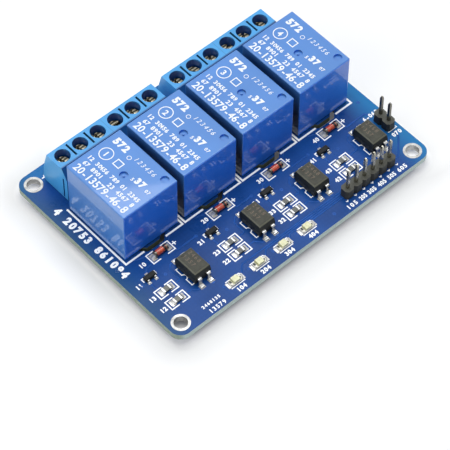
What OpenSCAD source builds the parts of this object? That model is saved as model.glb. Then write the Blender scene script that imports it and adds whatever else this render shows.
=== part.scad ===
// Four-channel relay module: relays, screw terminals and their drive circuit on one board.
// Millimetres. +X runs along the row of relays, +Y points at the screw terminals, +Z is up.
// The origin is the centre of the four mounting holes, on the underside of the board.

/* [Board] */
// Distance from the outer relays to the board's two ends
end_margin = 4.49; // [4.3:0.01:9]
// Distance from the signal header's strip to the board's front edge
front_margin = 2.83; // [2.6:0.01:6]
// Thickness of the circuit board
board_thickness = 1.6; // [1:0.1:2.4]
// Radius of the board's corners
corner_radius = 2.8; // [0.5:0.1:4]
// Distance of a mounting hole's axis from both edges of the board
hole_inset = 3.1; // [3:0.1:3.6]
// Clear diameter of a mounting hole, inside its plating
hole_diameter = 3.1; // [2:0.1:3.4]
// Outer diameter of the tinned ring round a mounting hole
hole_ring_diameter = 4.3; // [4:0.1:5]
// Wall of the plating in a mounting hole
plating = 0.1; // [0.05:0.01:0.15]
// Thickness of the tinned pads on both faces of the board
pad_thickness = 0.05; // [0.03:0.01:0.1]

/* [Isolation slots] */
// Width of the routed slot in front of each relay
slot_width = 1; // [0.6:0.1:1.2]
// Length of its straight run, parallel to the relay's front face
slot_front = 4; // [3:0.1:5]
// Distance of the straight run's centre line from the relay's front face
slot_offset = 0.95; // [0.7:0.05:1.2]
// How far each side of the slot steps outwards and back on its slanted run
slot_step = 1.6; // [1.2:0.1:1.8]
// Length of the slot's two arms, under the relay
slot_arm = 3.4; // [1:0.1:5]

/* [Relays] */
// Distance between two relays' centres
relay_pitch = 16.94; // [16.5:0.02:17.3]
// Shift of the relays' row from the middle of the board
relay_shift = 0.25; // [-0.6:0.05:0.6]
// Width of a relay's case, along X
relay_width = 15.2; // [14.8:0.1:15.6]
// Length of a relay's case, along Y
relay_length = 18.8; // [18.4:0.1:19.2]
// Height of a relay's top above the board
relay_height = 15.2; // [12:0.1:18]
// Radius of the case's edges
case_edge_radius = 0.35; // [0.2:0.05:0.8]
// Wall of the case round its base plate
case_wall = 0.7; // [0.5:0.05:1.2]
// Height of the case's lower rim above the board
case_lift = 0.4; // [0.3:0.05:0.8]
// Height of the base plate's underside above the board
base_lift = 0.2; // [0.1:0.05:0.3]
// Thickness of the base plate
base_thickness = 1.9; // [1.2:0.1:3]
// Distance from a relay's front face to its common pin
common_pin_inset = 2.3; // [2:0.1:2.8]
// Distance from the common pin to the two coil pins, along Y
coil_pin_run = 2; // [1.5:0.1:2.5]
// Distance from a relay's rear face to its two contact pins
contact_pin_inset = 2.3; // [2:0.1:4]
// Distance from a relay's sides to the two pins of a pair
side_pin_inset = 1.6; // [1.4:0.1:2.2]
// Width of a relay pin
relay_pin_width = 1; // [0.6:0.1:1.1]
// Thickness of a relay pin
relay_pin_thickness = 0.6; // [0.4:0.1:0.8]

/* [Terminal blocks] */
// Distance between two screws
terminal_pitch = 5; // [4.9:0.02:5.08]
// Screws in one block
block_poles = 3; // [3]
// Space between the two pairs of blocks
pair_gap = 3.1; // [2:0.1:4]
// Height of a block above the board
terminal_height = 10; // [9:0.1:13]
// Depth of a block at its foot, along Y
terminal_depth = 8.35; // [8.2:0.05:9]
// Depth of a block's narrower top, along Y
terminal_top_depth = 5.1; // [5:0.05:5.3]
// Set-back of the top behind the foot, on the relays' side
terminal_set_back = 1.65; // [1.4:0.05:1.8]
// Height at which a block's walls start to lean inwards
terminal_shoulder = 7; // [6.6:0.1:7.4]
// Distance from the board's edge to the foot of the wire entries' face
terminal_inset = 3.3; // [2.5:0.1:4]
// Distance between a block's foot and the relays' rear faces
relay_gap = 1.65; // [1:0.05:3]
// Diameter of a screw well
well_diameter = 3.6; // [3.3:0.02:3.7]
// Width of a wire entry
entry_width = 3; // [2.6:0.1:3.2]
// Length of the slit between two wells
slit_length = 3.7; // [2:0.1:4]
// Width of the slit between two wells
slit_width = 0.5; // [0.2:0.02:0.56]
// Width and depth of the groove and tongue that join two blocks
tongue_width = 0.45; // [0.3:0.05:0.5]

/* [Terminal screws and clamps] */
// Diameter of a screw's shank
shank_diameter = 2.5; // [2:0.05:2.6]
// Radial running clearance of the shank in its clamp
thread_clearance = 0.04; // [0.01:0.01:0.1]
// Diameter of a screw's head
head_diameter = 3.2; // [3:0.02:3.24]
// Height of a screw's head
head_height = 1.5; // [1.2:0.05:1.7]
// Width of the screwdriver slot
driver_slot_width = 0.7; // [0.4:0.05:0.8]
// Depth of the screwdriver slot
driver_slot_depth = 0.85; // [0.5:0.05:1]
// Width of a clamp, outside
clamp_width = 3.9; // [3.6:0.05:3.92]
// Length of a clamp, along the wire
clamp_length = 3.9; // [3.4:0.05:4]
// Thickness of a clamp's side walls
clamp_side_wall = 0.5; // [0.3:0.05:0.6]
// Thickness of a clamp's floor
clamp_floor = 0.4; // [0.3:0.05:0.5]
// Thickness of the clamp's tapped top
clamp_top = 0.8; // [0.6:0.05:0.9]
// Room for the wire in an open clamp
wire_room = 2.1; // [2:0.05:2.3]
// Height of an open clamp's underside above the board
clamp_stand = 0.26; // [0.2:0.02:0.5]
// Thickness of the contact bar and of its leg
contact_thickness = 0.5; // [0.4:0.05:0.6]
// Travel of a clamp from open to closed
clamp_travel = 1.69; // [1:0.01:1.72]

/* [Drive circuit] */
// Shift of each channel's optocoupler from its relay's centre line
opto_shift = [1.55, 3.25, 2.55, 3.5]; // [-6:0.05:6]
// Shift of each channel's two resistors from its relay's centre line
resistor_shift = [-5.95, -4.55, -5.2, -5.25]; // [-6:0.05:6]
// Shift of each channel's transistor from its relay's centre line
transistor_shift = [-6.5, -5.75, -6.5, -6.35]; // [-6.6:0.05:6]
// Shift of each channel's diode from its relay's centre line
diode_shift = [-0.45, -0.1, -0.7, -0.75]; // [-1:0.05:1]
// Distance from the relays' front faces to the diodes
diode_gap = 2.55; // [2.4:0.05:2.8]
// Distance from the relays' front faces to the transistors' leads
transistor_gap = 5.5; // [5:0.05:6]
// Distance from the relays' front faces to the optocouplers' leads
opto_gap = 6.75; // [6.5:0.05:8]
// Distance from the relays' front faces to the first row of resistors
resistor_gap = 10.825; // [10:0.025:12]
// Distance between the two resistors of each channel
resistor_spacing = [3.55, 3.1, 3.1, 3.1]; // [2.8:0.05:3.6]
// Distance from the optocouplers' leads to the lamps
led_gap = 2.45; // [1.5:0.05:3]
// Distance between two indicator lamps
led_pitch = 7; // [5:0.1:7.2]
// Shift of the lamps' row from the middle of the board
led_shift = -8.2; // [-10:0.1:-7]

/* [Optocouplers] */
// Width of an optocoupler's body, along X
opto_width = 4.6; // [4.2:0.1:5]
// Length of an optocoupler's body, along Y
opto_length = 6.5; // [6.3:0.1:6.7]
// Height of an optocoupler's body
opto_height = 3.5; // [2.6:0.1:3.8]
// How far an optocoupler's lead stands out from the body before its foot
opto_knee = 0.7; // [0.6:0.05:0.9]
// Length of an optocoupler's foot
opto_foot = 0.85; // [0.6:0.05:1]
// Distance between two leads on one side
opto_lead_pitch = 2.54; // [2.3:0.01:2.8]
// Width of an optocoupler's lead
opto_lead_width = 0.9; // [0.5:0.1:1.2]
// Thickness of an optocoupler's lead
opto_lead_thickness = 0.25; // [0.2:0.01:0.3]

/* [Small parts] */
// Length of a transistor's body, along X
transistor_length = 2.9; // [2.7:0.1:3.1]
// Width of a transistor's body, along Y
transistor_width = 1.3; // [1.2:0.05:1.4]
// Height of a transistor's body
transistor_height = 0.95; // [0.8:0.05:1.1]
// Distance between the lead tips of a transistor, across the body
transistor_span = 2.5; // [2.3:0.05:2.7]
// Diameter of a diode's end caps
diode_diameter = 1.5; // [1.4:0.05:1.6]
// Length of a diode
diode_length = 3.5; // [3.3:0.05:3.7]
// Length of a diode's end cap
diode_cap_length = 0.45; // [0.3:0.05:0.6]
// Length of a resistor
resistor_length = 2; // [1.8:0.05:2.2]
// Width of a resistor
resistor_width = 1.25; // [1.1:0.05:1.4]
// Height of a resistor
resistor_height = 0.55; // [0.4:0.05:0.7]
// Length of a resistor's metal end
resistor_end = 0.4; // [0.25:0.05:0.5]
// Length of a lamp
led_length = 3.2; // [3:0.1:3.4]
// Width of a lamp
led_width = 1.6; // [1.4:0.1:1.7]
// Thickness of a lamp's base
led_base_height = 0.45; // [0.3:0.05:0.6]
// Height of a lamp's lens
led_lens_height = 0.65; // [0.4:0.05:0.9]

/* [Pin headers] */
// Distance between two header pins
header_pitch = 2.54; // [2.5:0.01:2.54]
// Pins of the signal header
signal_pins = 6; // [2:1:6]
// Pins of the power selection header
power_pins = 2; // [2:1:3]
// Height of a header's plastic strip
header_height = 2.5; // [2:0.1:2.8]
// Width of a header pin
header_pin_width = 0.64; // [0.5:0.01:0.7]
// Height of a header pin's tip above the board
header_pin_height = 8.4; // [6:0.1:9]
// Distance from the board's right edge to the middle of the signal header
signal_header_run = 15.97; // [15:0.01:18]
// Distance from the optocouplers' leads to the signal header's strip
signal_header_gap = 1.18; // [0.8:0.01:2]
// Distance from the board's right edge to the power selection header's pins
power_header_inset = 2.4; // [2:0.1:2.6]
// Shift of the power selection header behind the optocouplers' middle
power_header_shift = 1.55; // [1:0.05:3]

/* [Leads and solder] */
// How far every through-hole lead reaches below the board
lead_tail = 1.5; // [1.2:0.1:2]
// Height of a solder joint below the board
solder_height = 1.05; // [0.6:0.05:1.15]
// Clearance between a lead's corner and its hole
lead_clearance = 0.1; // [0.05:0.01:0.15]
// Width of the tinned ring round a lead's hole
ring_width = 0.4; // [0.3:0.02:0.5]
// Clearance between two pieces that are pushed together
seat_clearance = 0.02; // [0.01:0.01:0.04]

/* [Hidden] */
$fn = 48;
fine = 24;

CHANNELS = 4;
BLOCKS = 4;
POLES = BLOCKS * block_poles;

function numbered(name, count) = [for (i = [1:count]) str(name, "_", i)];
function numbered_end(name, count, end) = [for (i = [1:count]) str(name, "_", i, "_", end)];

// --- Board: as long as its row of relays, as wide as its rows of parts
opto_reach = opto_knee + opto_foot;         // from the body to a lead's tip
opto_span = opto_length + 2 * opto_reach;
board_length = (CHANNELS - 1) * relay_pitch + relay_width + 2 * end_margin;
board_width = terminal_inset + terminal_depth + relay_gap + relay_length + opto_gap + opto_span
    + signal_header_gap + header_pitch + front_margin;
top = board_thickness;                      // the face that the parts stand on
pad_top = top + pad_thickness;              // the face of the tinned pads
hole_x = board_length / 2 - hole_inset;
hole_y = board_width / 2 - hole_inset;

// --- Terminal blocks, from the rear edge inwards
entry_foot = board_width / 2 - terminal_inset;
terminal_back = entry_foot - terminal_depth;
block_length = block_poles * terminal_pitch;
terminal_top_back = terminal_back + terminal_set_back;
screw_y = terminal_top_back + terminal_top_depth / 2 + 0.1;
foot_height = 0.2;                          // moulded feet under a block
foot_length = 1;
foot_width = 0.8;
foot_inset = 0.5;                           // from a block's end to its feet
entry_waist = 4.7;                          // height at which the wire entries' face turns
entry_lean = [0.25, 0.8];                   // set-back of that face at the waist and the shoulder
toe = [0.7, 0.8];                           // chamfer at the foot of that face: [depth, height]
entry_head = 0.35;                          // the door's round top rises above the contact bar
funnel = [0.65, 0.35, 0.3];                 // recess round a door: [depth, beside it, above it]
cell_gap = 0.1;                             // a clamp slides in its cell
cell_width = clamp_width + 2 * cell_gap;
cell_back = screw_y - clamp_length / 2 - 2 * cell_gap - contact_thickness;
cell_front = screw_y + clamp_length / 2 + 3 * cell_gap;
ledge = 0.35;                               // ledge between a cell and its well
ledge_hole = shank_diameter + 0.3;
head_gap = 0.05;                            // under the head, over the clamp, below the shank
bar_gap = 0.1;                              // between the contact bar and the open clamp's top
clamp_height = clamp_floor + wire_room + contact_thickness + bar_gap + clamp_top;
cell_top = clamp_stand + clamp_height + clamp_travel + head_gap;
head_seat = cell_top + ledge + head_gap;
contact_bottom = clamp_stand + clamp_floor + wire_room;
contact_top = contact_bottom + contact_thickness;
shank_length = head_seat - contact_top - head_gap;
entry_bottom = clamp_stand + clamp_floor + head_gap;
contact_leg_width = 1;
shoulder_height = 1;                        // the contact's shoulders, which wedge in the cell
contact_leg_y = cell_back + seat_clearance + contact_thickness / 2;
contact_bar_width = clamp_width - 2 * clamp_side_wall - 5 * cell_gap;
slit_depth = 2;
tongue_bottom = foot_height + 0.35;         // the hook stops short of the block's foot
tongue_top = terminal_shoulder - 0.2;
tongue_y = terminal_back + 1.25;            // where one block hooks into the next
tongue_fit = 0.05;                          // clearance of a tongue in its groove
// Angle of each screw's driver slot, as the screws were left
screw_angles = [100, 106, 95, 4, 78, 92, 88, 132, 62, 34, 56, 94];

function block_x(i) = i < BLOCKS / 2
    ? -pair_gap / 2 - (BLOCKS / 2 - i) * block_length
    : pair_gap / 2 + (i - BLOCKS / 2) * block_length;
function pole_x(i) = block_x(floor(i / block_poles)) + (i % block_poles + 0.5) * terminal_pitch;

// --- Relays, in front of the terminal blocks
relay_y = terminal_back - relay_gap - relay_length / 2;
relay_front = relay_y - relay_length / 2;
base_top = base_lift + base_thickness;
common_y = relay_front + common_pin_inset;
coil_y = common_y + coil_pin_run;
contact_y = relay_front + relay_length - contact_pin_inset;
pin_pair_half = relay_width / 2 - side_pin_inset;
gate_mark_place = [0.05, -0.6];             // from the middle of a case's top
gate_nub = [0.5, 0.3];                      // stub of the gate in its mark: [diameter, height]
ejector_mark_inset = [1.85, 2.05];           // from the case's right and front faces
dimple_diameter = 2;                        // of both marks
dimple_depth = 0.55;
base_foot_diameter = 1.2;                   // the small feet that lift a base plate

function channel_x(i) = relay_shift + (i - (CHANNELS - 1) / 2) * relay_pitch;
// The five pins of a relay: [x, y, turned] from its centre line
relay_pin_places = [
    [0, common_y, false],
    [-pin_pair_half, coil_y, true],
    [pin_pair_half, coil_y, true],
    [-pin_pair_half, contact_y, false],
    [pin_pair_half, contact_y, false]
];

// --- Drive circuit, in front of the relays
diode_y = relay_front - diode_gap - diode_diameter / 2;
transistor_y = relay_front - transistor_gap - transistor_span / 2;
opto_y = relay_front - opto_gap - opto_span / 2;
resistor_y = relay_front - resistor_gap - resistor_width / 2;
led_y = opto_y - opto_span / 2 - led_gap - led_width / 2;

function led_x(i) = led_shift + (i - (CHANNELS - 1) / 2) * led_pitch;

opto_stand = 0.15;                          // the body stands clear of the board
opto_rise = opto_stand + opto_height / 2;   // height of the leads at the body
opto_draft = 0.22;                          // how far the moulded sides lean
opto_bevel = 0.25;                          // bevel round the top face
opto_mark_inset = 1.2;                      // round mark beside lead 1, from both sides
opto_mark_diameter = 0.9;
opto_mark_depth = 0.1;
transistor_stand = 0.05;
transistor_foot = 0.35;
transistor_draft = 0.08;
transistor_lead_width = 0.42;
transistor_lead_thickness = 0.13;
transistor_lead_spacing = 0.95;             // from the middle to each of the two front leads
diode_pad_run = 2.1;                        // from a diode's middle to its pads
diode_glass_diameter = diode_diameter - 0.12;
resistor_pad_run = 1.35;                    // from a resistor's middle to its pads
resistor_plating = 0.04;                    // metal round a resistor's ends
led_pad_run = 1.75;                         // from a lamp's middle to its pads
led_notch = 0.3;                            // quarter-round notches in a lamp's corners
led_terminal = 0.65;                        // bare length of the base at both ends
led_lens_width = led_width - 0.1;
led_draft = 0.15;                           // lean of the lens's ends
end_pad_length = 1.2;                       // pads at the ends of the small two-ended parts
pad_margin = 0.35;                          // a pad's width and length beyond its lead or part

// --- Pin headers
signal_header_at = [
    board_length / 2 - signal_header_run,
    opto_y - opto_span / 2 - signal_header_gap - header_pitch / 2
];
power_header_at = [board_length / 2 - power_header_inset, opto_y + power_header_shift];
cell_chamfer = 0.55;                        // corners of a header's eight-sided cells
pin_point = 0.5;                            // length of a header pin's taper
pin_taper = 0.55;                           // share of the width that is left at its tip

// --- Holes for leads, one diameter for each shape of lead
relay_lead_diagonal = norm([relay_pin_width, relay_pin_thickness]);
contact_lead_diagonal = norm([contact_leg_width, contact_thickness]);
header_lead_diagonal = norm([header_pin_width, header_pin_width]);

neck_wall = 0.07;                           // solder round a lead at the joint's tip

function lead_hole(diagonal) = diagonal + 2 * lead_clearance;

// ---------------------------------------------------------------- shapes that repeat

// A rectangle on its centre, with round corners
module rounded_rectangle(length, width, radius) {
    square([length - 2 * radius, width], center = true);
    square([length, width - 2 * radius], center = true);
    for (x = [-1, 1], y = [-1, 1])
        translate([x * (length / 2 - radius), y * (width / 2 - radius)]) circle(radius);
}

// A stroke of even width through a list of points, with round ends
module stroke(points, width) {
    for (p = points) translate(p) circle(d = width);
    for (i = [1:len(points) - 1]) {
        run = points[i] - points[i - 1];
        translate(points[i - 1]) rotate(atan2(run[1], run[0]))
            translate([0, -width / 2]) square([norm(run), width]);
    }
}

// An outline in Y and Z, extruded along +X
module along_x(length) {
    rotate([90, 0, 90]) linear_extrude(length) children();
}

// An outline in X and Z, extruded along +Y
module along_y(length) {
    rotate([90, 0, 0]) mirror([0, 0, 1]) linear_extrude(length) children();
}

// A box centred in X and Y, standing on z = 0
module plate(length, width, height) {
    translate([-length / 2, -width / 2, 0]) cube([length, width, height]);
}

// Half of a moulded body's outline: widest at the flat land that its leads leave from, halfway up,
// and bevelled along its top edge
function moulded_half(half, height, land, draft, bevel) = [
    [half - draft, 0], [half, (height - land) / 2], [half, (height + land) / 2],
    [half - draft, height - bevel], [half - draft - bevel, height]
];

// The whole outline: the half and its mirror image
module moulded_outline(half, height, land, draft, bevel) {
    side = moulded_half(half, height, land, draft, bevel);
    polygon(concat(side, [for (i = [len(side) - 1:-1:0]) [-side[i][0], side[i][1]]]));
}

// A moulded package: drafted on all four sides
module moulded_package(length, width, height, land, draft, bevel) {
    intersection() {
        translate([-length / 2, 0, 0])
            along_x(length) moulded_outline(width / 2, height, land, draft, bevel);
        translate([0, -width / 2, 0])
            along_y(width) moulded_outline(length / 2, height, land, draft, bevel);
    }
}

// A quarter of a ring, from the +X side to the +Y side of its centre
module quarter_ring(inner, thickness) {
    intersection() {
        difference() {
            circle(inner + thickness);
            circle(inner);
        }
        square(inner + thickness);
    }
}

// A gull-wing lead: it leaves the body at y = 0, z = rise and ends on z = 0 at y = reach
module gull_lead(rise, reach, foot, thickness, width) {
    bend = thickness * 0.8;
    outer = bend + thickness;
    knee = reach - foot;
    translate([-width / 2, 0, 0]) along_x(width) {
        translate([0, rise - thickness]) square([knee - outer, thickness]);
        translate([knee - outer, rise - outer]) quarter_ring(bend, thickness);
        translate([knee - thickness, outer]) square([thickness, rise - 2 * outer]);
        translate([knee + bend, outer]) rotate(180) quarter_ring(bend, thickness);
        translate([knee + bend, 0]) square([foot - bend, thickness]);
    }
}

// ---------------------------------------------------------------- leads and their solder

// Places every through-hole lead: child 0 at the relays' upright pins, 1 at their turned pins,
// 2 at the terminal contacts' legs and 3 at the header pins
module at_leads() {
    for (i = [0:CHANNELS - 1], p = relay_pin_places)
        translate([channel_x(i) + p[0], p[1], 0]) children(p[2] ? 1 : 0);
    for (i = [0:POLES - 1]) translate([pole_x(i), contact_leg_y, 0]) children(2);
    at_header_pins(signal_header_at, signal_pins, 0) children(3);
    at_header_pins(power_header_at, power_pins, 90) children(3);
}

module at_header_pins(place, count, turn) {
    for (i = [0:count - 1])
        translate(place) rotate(turn) translate([(i - (count - 1) / 2) * header_pitch, 0, 0]) children();
}

// The hole in the board for a lead
module lead_bore(diagonal) {
    translate([0, 0, -1]) cylinder(d = lead_hole(diagonal), h = board_thickness + 2);
}

// The tinned rings round a lead's hole, on both faces of the board
module lead_rings(diagonal) {
    for (z = [-pad_thickness, top]) translate([0, 0, z]) difference() {
        cylinder(d = lead_hole(diagonal) + 2 * ring_width, h = pad_thickness);
        translate([0, 0, -1]) cylinder(d = lead_hole(diagonal), h = pad_thickness + 2);
    }
}

// Solder that fills a lead's hole and rises round its tail in a hollow cone
module solder_joint(diagonal, length, width) {
    bore = lead_hole(diagonal) / 2;
    rim = bore + ring_width * 0.8;
    neck = diagonal / 2 + neck_wall;
    difference() {
        rotate_extrude() polygon([
            [0, top], [bore, top], [bore, -pad_thickness], [rim, -pad_thickness],
            [(rim + neck) / 2, -solder_height * 0.35], [neck + neck_wall, -solder_height * 0.7],
            [neck, -solder_height], [0, -solder_height]
        ]);
        translate([0, 0, -lead_tail]) plate(length, width, board_thickness + 2 * lead_tail);
    }
}

// ---------------------------------------------------------------- board

module isolation_slot() {
    half = slot_front / 2;
    straight = relay_front - slot_offset;
    arm = half + slot_step;
    stroke([
        [-arm, straight + slot_step + slot_arm], [-arm, straight + slot_step], [-half, straight],
        [half, straight], [arm, straight + slot_step], [arm, straight + slot_step + slot_arm]
    ], slot_width);
}

module circuit_board() {
    color("#1b4fa8") difference() {
        linear_extrude(board_thickness) rounded_rectangle(board_length, board_width, corner_radius);
        for (x = [-1, 1], y = [-1, 1]) translate([x * hole_x, y * hole_y, -1])
            cylinder(d = hole_diameter + 2 * plating, h = board_thickness + 2);
        for (i = [0:CHANNELS - 1]) translate([channel_x(i), 0, -1])
            linear_extrude(board_thickness + 2) isolation_slot();
        at_leads() {
            lead_bore(relay_lead_diagonal);
            lead_bore(relay_lead_diagonal);
            lead_bore(contact_lead_diagonal);
            lead_bore(header_lead_diagonal);
        }
    }
}

module mounting_hole_plating() {
    bore = hole_diameter / 2;
    ring = hole_ring_diameter / 2;
    wall = bore + plating;
    color("#d9dadb") for (x = [-1, 1], y = [-1, 1]) translate([x * hole_x, y * hole_y, 0])
        rotate_extrude() polygon([
            [bore, -pad_thickness], [ring, -pad_thickness], [ring, 0], [wall, 0],
            [wall, top], [ring, top], [ring, pad_top], [bore, pad_top]
        ]);
}

module surface_pads() {
    pair(diode_pad_run) at_diodes()
        plate(end_pad_length, diode_diameter + pad_margin, pad_thickness);
    pair(resistor_pad_run) at_resistors()
        plate(end_pad_length, resistor_width + pad_margin, pad_thickness);
    pair(led_pad_run) at_leds() plate(end_pad_length, led_width, pad_thickness);
    at_transistor_feet()
        plate(transistor_lead_width + pad_margin, transistor_foot + pad_margin, pad_thickness);
    at_opto_feet() plate(opto_lead_width + pad_margin, opto_foot + pad_margin, pad_thickness);
}

module solder_pads() {
    color("#d3d4d2") {
        translate([0, 0, top]) surface_pads();
        at_leads() {
            lead_rings(relay_lead_diagonal);
            lead_rings(relay_lead_diagonal);
            lead_rings(contact_lead_diagonal);
            lead_rings(header_lead_diagonal);
        }
    }
}

module solder_joints() {
    color("#c9cac8") at_leads() {
        solder_joint(relay_lead_diagonal, relay_pin_width, relay_pin_thickness);
        solder_joint(relay_lead_diagonal, relay_pin_thickness, relay_pin_width);
        solder_joint(contact_lead_diagonal, contact_leg_width, contact_thickness);
        solder_joint(header_lead_diagonal, header_pin_width, header_pin_width);
    }
}

// ---------------------------------------------------------------- relays

// The inside of the case's skirt, which holds the base plate
module skirt(clearance) {
    rounded_rectangle(relay_width - 2 * (case_wall + clearance),
        relay_length - 2 * (case_wall + clearance), case_edge_radius);
}

module relay_case(i) {
    radius = case_edge_radius;
    half_x = relay_width / 2 - radius;
    half_y = relay_length / 2 - radius;
    color("#2a62c9") translate([channel_x(i), relay_y, top]) difference() {
        hull() for (x = [-half_x, half_x], y = [-half_y, half_y]) translate([x, y, 0]) {
            translate([0, 0, case_lift]) cylinder(r = radius, h = radius, $fn = fine);
            translate([0, 0, relay_height - radius]) sphere(radius, $fn = fine);
        }
        translate([0, 0, case_lift - 1]) linear_extrude(base_top - case_lift + 1) skirt(0);
        translate(gate_mark_place) translate([0, 0, relay_height - dimple_depth]) difference() {
            cylinder(d = dimple_diameter, h = 1);
            translate([0, 0, -1]) cylinder(d = gate_nub[0], h = 1 + gate_nub[1]);
        }
        translate([relay_width / 2 - ejector_mark_inset[0],
                ejector_mark_inset[1] - relay_length / 2, relay_height - dimple_depth])
            cylinder(d = dimple_diameter, h = 1);
    }
}

module relay_base(i) {
    color("#16181b") translate([channel_x(i), 0, top]) difference() {
        union() {
            translate([0, relay_y, base_lift]) linear_extrude(base_thickness) skirt(seat_clearance);
            for (x = [-1, 1], share = [0.25, 0.75])
                translate([x * pin_pair_half, coil_y + share * (contact_y - coil_y), 0])
                    cylinder(d = base_foot_diameter, h = base_lift);
        }
        for (p = relay_pin_places) translate([p[0], p[1], 0])
            relay_pin_blade(p[2], seat_clearance, 0, base_top + 1);
    }
}

// A relay pin between two heights; a turned one has its width along Y
module relay_pin_blade(turned, clearance, from, to) {
    length = relay_pin_width + 2 * clearance;
    width = relay_pin_thickness + 2 * clearance;
    translate([0, 0, from]) rotate(turned ? 90 : 0) plate(length, width, to - from);
}

module relay_pins() {
    color("#b9bbb8") for (i = [0:CHANNELS - 1], p = relay_pin_places)
        translate([channel_x(i) + p[0], p[1], 0])
            relay_pin_blade(p[2], 0, -lead_tail, top + base_top);
}

// ---------------------------------------------------------------- terminal blocks

// A block's outline in Y and Z: a foot that narrows to the top
module block_outline() {
    polygon([
        [terminal_back, foot_height],
        [terminal_back, terminal_shoulder],
        [terminal_top_back, terminal_height],
        [terminal_top_back + terminal_top_depth, terminal_height],
        [entry_foot - entry_lean[1], terminal_shoulder],
        [entry_foot - entry_lean[0], entry_waist],
        [entry_foot, foot_height + toe[1]],
        [entry_foot - toe[0], foot_height]
    ]);
}

// An upright opening with a round top, in X and Z
module arch(width, height) {
    translate([-width / 2, 0]) square([width, height - width / 2]);
    translate([0, height - width / 2]) circle(d = width);
}

// What is cut from a block for one screw, its clamp and the wire
module pole_cut() {
    entry_height = contact_top - entry_bottom + entry_head;
    translate([0, screw_y, head_seat - head_gap])
        cylinder(d = well_diameter, h = terminal_height);
    translate([0, screw_y, cell_top - 1]) cylinder(d = ledge_hole, h = terminal_height);
    translate([-cell_width / 2, cell_back, -1])
        cube([cell_width, cell_front - cell_back, cell_top + 1]);
    translate([0, cell_front - 1, entry_bottom])
        along_y(terminal_depth) arch(entry_width, entry_height);
    translate([0, entry_foot - funnel[0], entry_bottom - funnel[2]])
        along_y(terminal_depth) arch(entry_width + 2 * funnel[1], entry_height + 2 * funnel[2]);
}

module tongue(width, height) {
    translate([-width, tongue_y - width / 2, tongue_bottom])
        cube([2 * width, width, height - tongue_bottom]);
}

module terminal_block(i) {
    color("#3f9be6") translate([block_x(i), 0, top]) difference() {
        union() {
            along_x(block_length) block_outline();
            translate([block_length, 0, 0]) tongue(tongue_width - tongue_fit, tongue_top - tongue_fit);
            for (x = [foot_inset, block_length - foot_length - foot_inset],
                    y = [terminal_back + foot_height, cell_front + foot_height])
                translate([x, y, 0]) cube([foot_length, foot_width, foot_height + 0.1]);
        }
        for (pole = [0:block_poles - 1])
            translate([(pole + 0.5) * terminal_pitch, 0, 0]) pole_cut();
        for (wall = [1:block_poles - 1])
            translate([wall * terminal_pitch - slit_width / 2, screw_y - slit_length / 2,
                terminal_height - slit_depth]) cube([slit_width, slit_length, slit_depth + 1]);
        tongue(tongue_width, tongue_top);
    }
}

// A contact bar that reaches through its clamp, with the leg that is soldered to the board
module terminal_contacts() {
    leg_bottom = -lead_tail - top;
    color("#b8bab4") for (i = [0:POLES - 1]) translate([pole_x(i), contact_leg_y, top]) {
        translate([0, 0, leg_bottom])
            plate(contact_leg_width, contact_thickness, contact_top - leg_bottom);
        translate([0, 0, contact_top - shoulder_height])
            plate(cell_width, contact_thickness, shoulder_height);
        translate([-contact_bar_width / 2, 0, contact_bottom])
            cube([contact_bar_width, cell_front - cell_gap - contact_leg_y, contact_thickness]);
    }
}

// ---------------------------------------------------------------- terminal screws and clamps

module terminal_screw(i) {
    head = head_diameter / 2;
    shank = shank_diameter / 2;
    rim = 0.15;                             // chamfer round the head
    point = 0.35;                           // chamfer at the shank's end
    color("#cdbf8f") translate([pole_x(i), screw_y, top + head_seat]) difference() {
        rotate_extrude() polygon([
            [0, head_height], [head - rim, head_height], [head, head_height - rim], [head, 0],
            [shank, 0], [shank, point - shank_length], [shank - point, -shank_length],
            [0, -shank_length]
        ]);
        rotate(screw_angles[i]) translate([0, 0, head_height - driver_slot_depth])
            plate(head_diameter + 1, driver_slot_width, driver_slot_depth + 1);
    }
}

module wire_clamp(i) {
    inner_height = clamp_height - clamp_floor - clamp_top;
    inner_width = clamp_width - 2 * clamp_side_wall;
    bend = 0.3;                             // radius of the folded corners
    groove = 0.12;                          // depth of the grip grooves across the floor
    color("#b7b9ba") translate([pole_x(i), screw_y, top + clamp_stand]) difference() {
        translate([0, -clamp_length / 2, 0]) along_y(clamp_length)
            translate([0, clamp_height / 2]) rounded_rectangle(clamp_width, clamp_height, bend);
        translate([-inner_width / 2, -clamp_length / 2 - 1, clamp_floor])
            cube([inner_width, clamp_length + 2, inner_height]);
        translate([0, 0, clamp_floor + inner_height - 1])
            cylinder(r = shank_diameter / 2 + thread_clearance, h = clamp_top + 2);
        for (k = [-1:1]) translate([0, k * clamp_length / 4, clamp_floor - groove])
            plate(inner_width, 2 * groove, 2 * groove);
    }
}

// ---------------------------------------------------------------- optocouplers

module at_optos() {
    for (i = [0:CHANNELS - 1]) translate([channel_x(i) + opto_shift[i], opto_y, 0]) children();
}

// Two leads on each side of every optocoupler; +Y of a child points away from the body
module at_opto_sides() {
    at_optos() for (side = [0, 180], x = [-1, 1] * opto_lead_pitch / 2)
        rotate(side) translate([x, opto_length / 2, 0]) children();
}

module at_opto_feet() {
    at_opto_sides() translate([0, opto_reach - opto_foot / 2, 0]) children();
}

module optocoupler(i) {
    color("#2b2c2a") translate([channel_x(i) + opto_shift[i], opto_y, pad_top + opto_stand])
        difference() {
            moulded_package(opto_width, opto_length, opto_height, opto_lead_thickness + 0.1,
                opto_draft, opto_bevel);
            translate([opto_mark_inset - opto_width / 2, opto_length / 2 - opto_mark_inset,
                opto_height - opto_mark_depth]) cylinder(d = opto_mark_diameter, h = 1);
        }
}

module optocoupler_leads() {
    color("#c4c6c4") translate([0, 0, pad_top]) at_opto_sides()
        gull_lead(opto_rise + opto_lead_thickness / 2, opto_reach, opto_foot, opto_lead_thickness,
            opto_lead_width);
}

// ---------------------------------------------------------------- transistors

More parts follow.
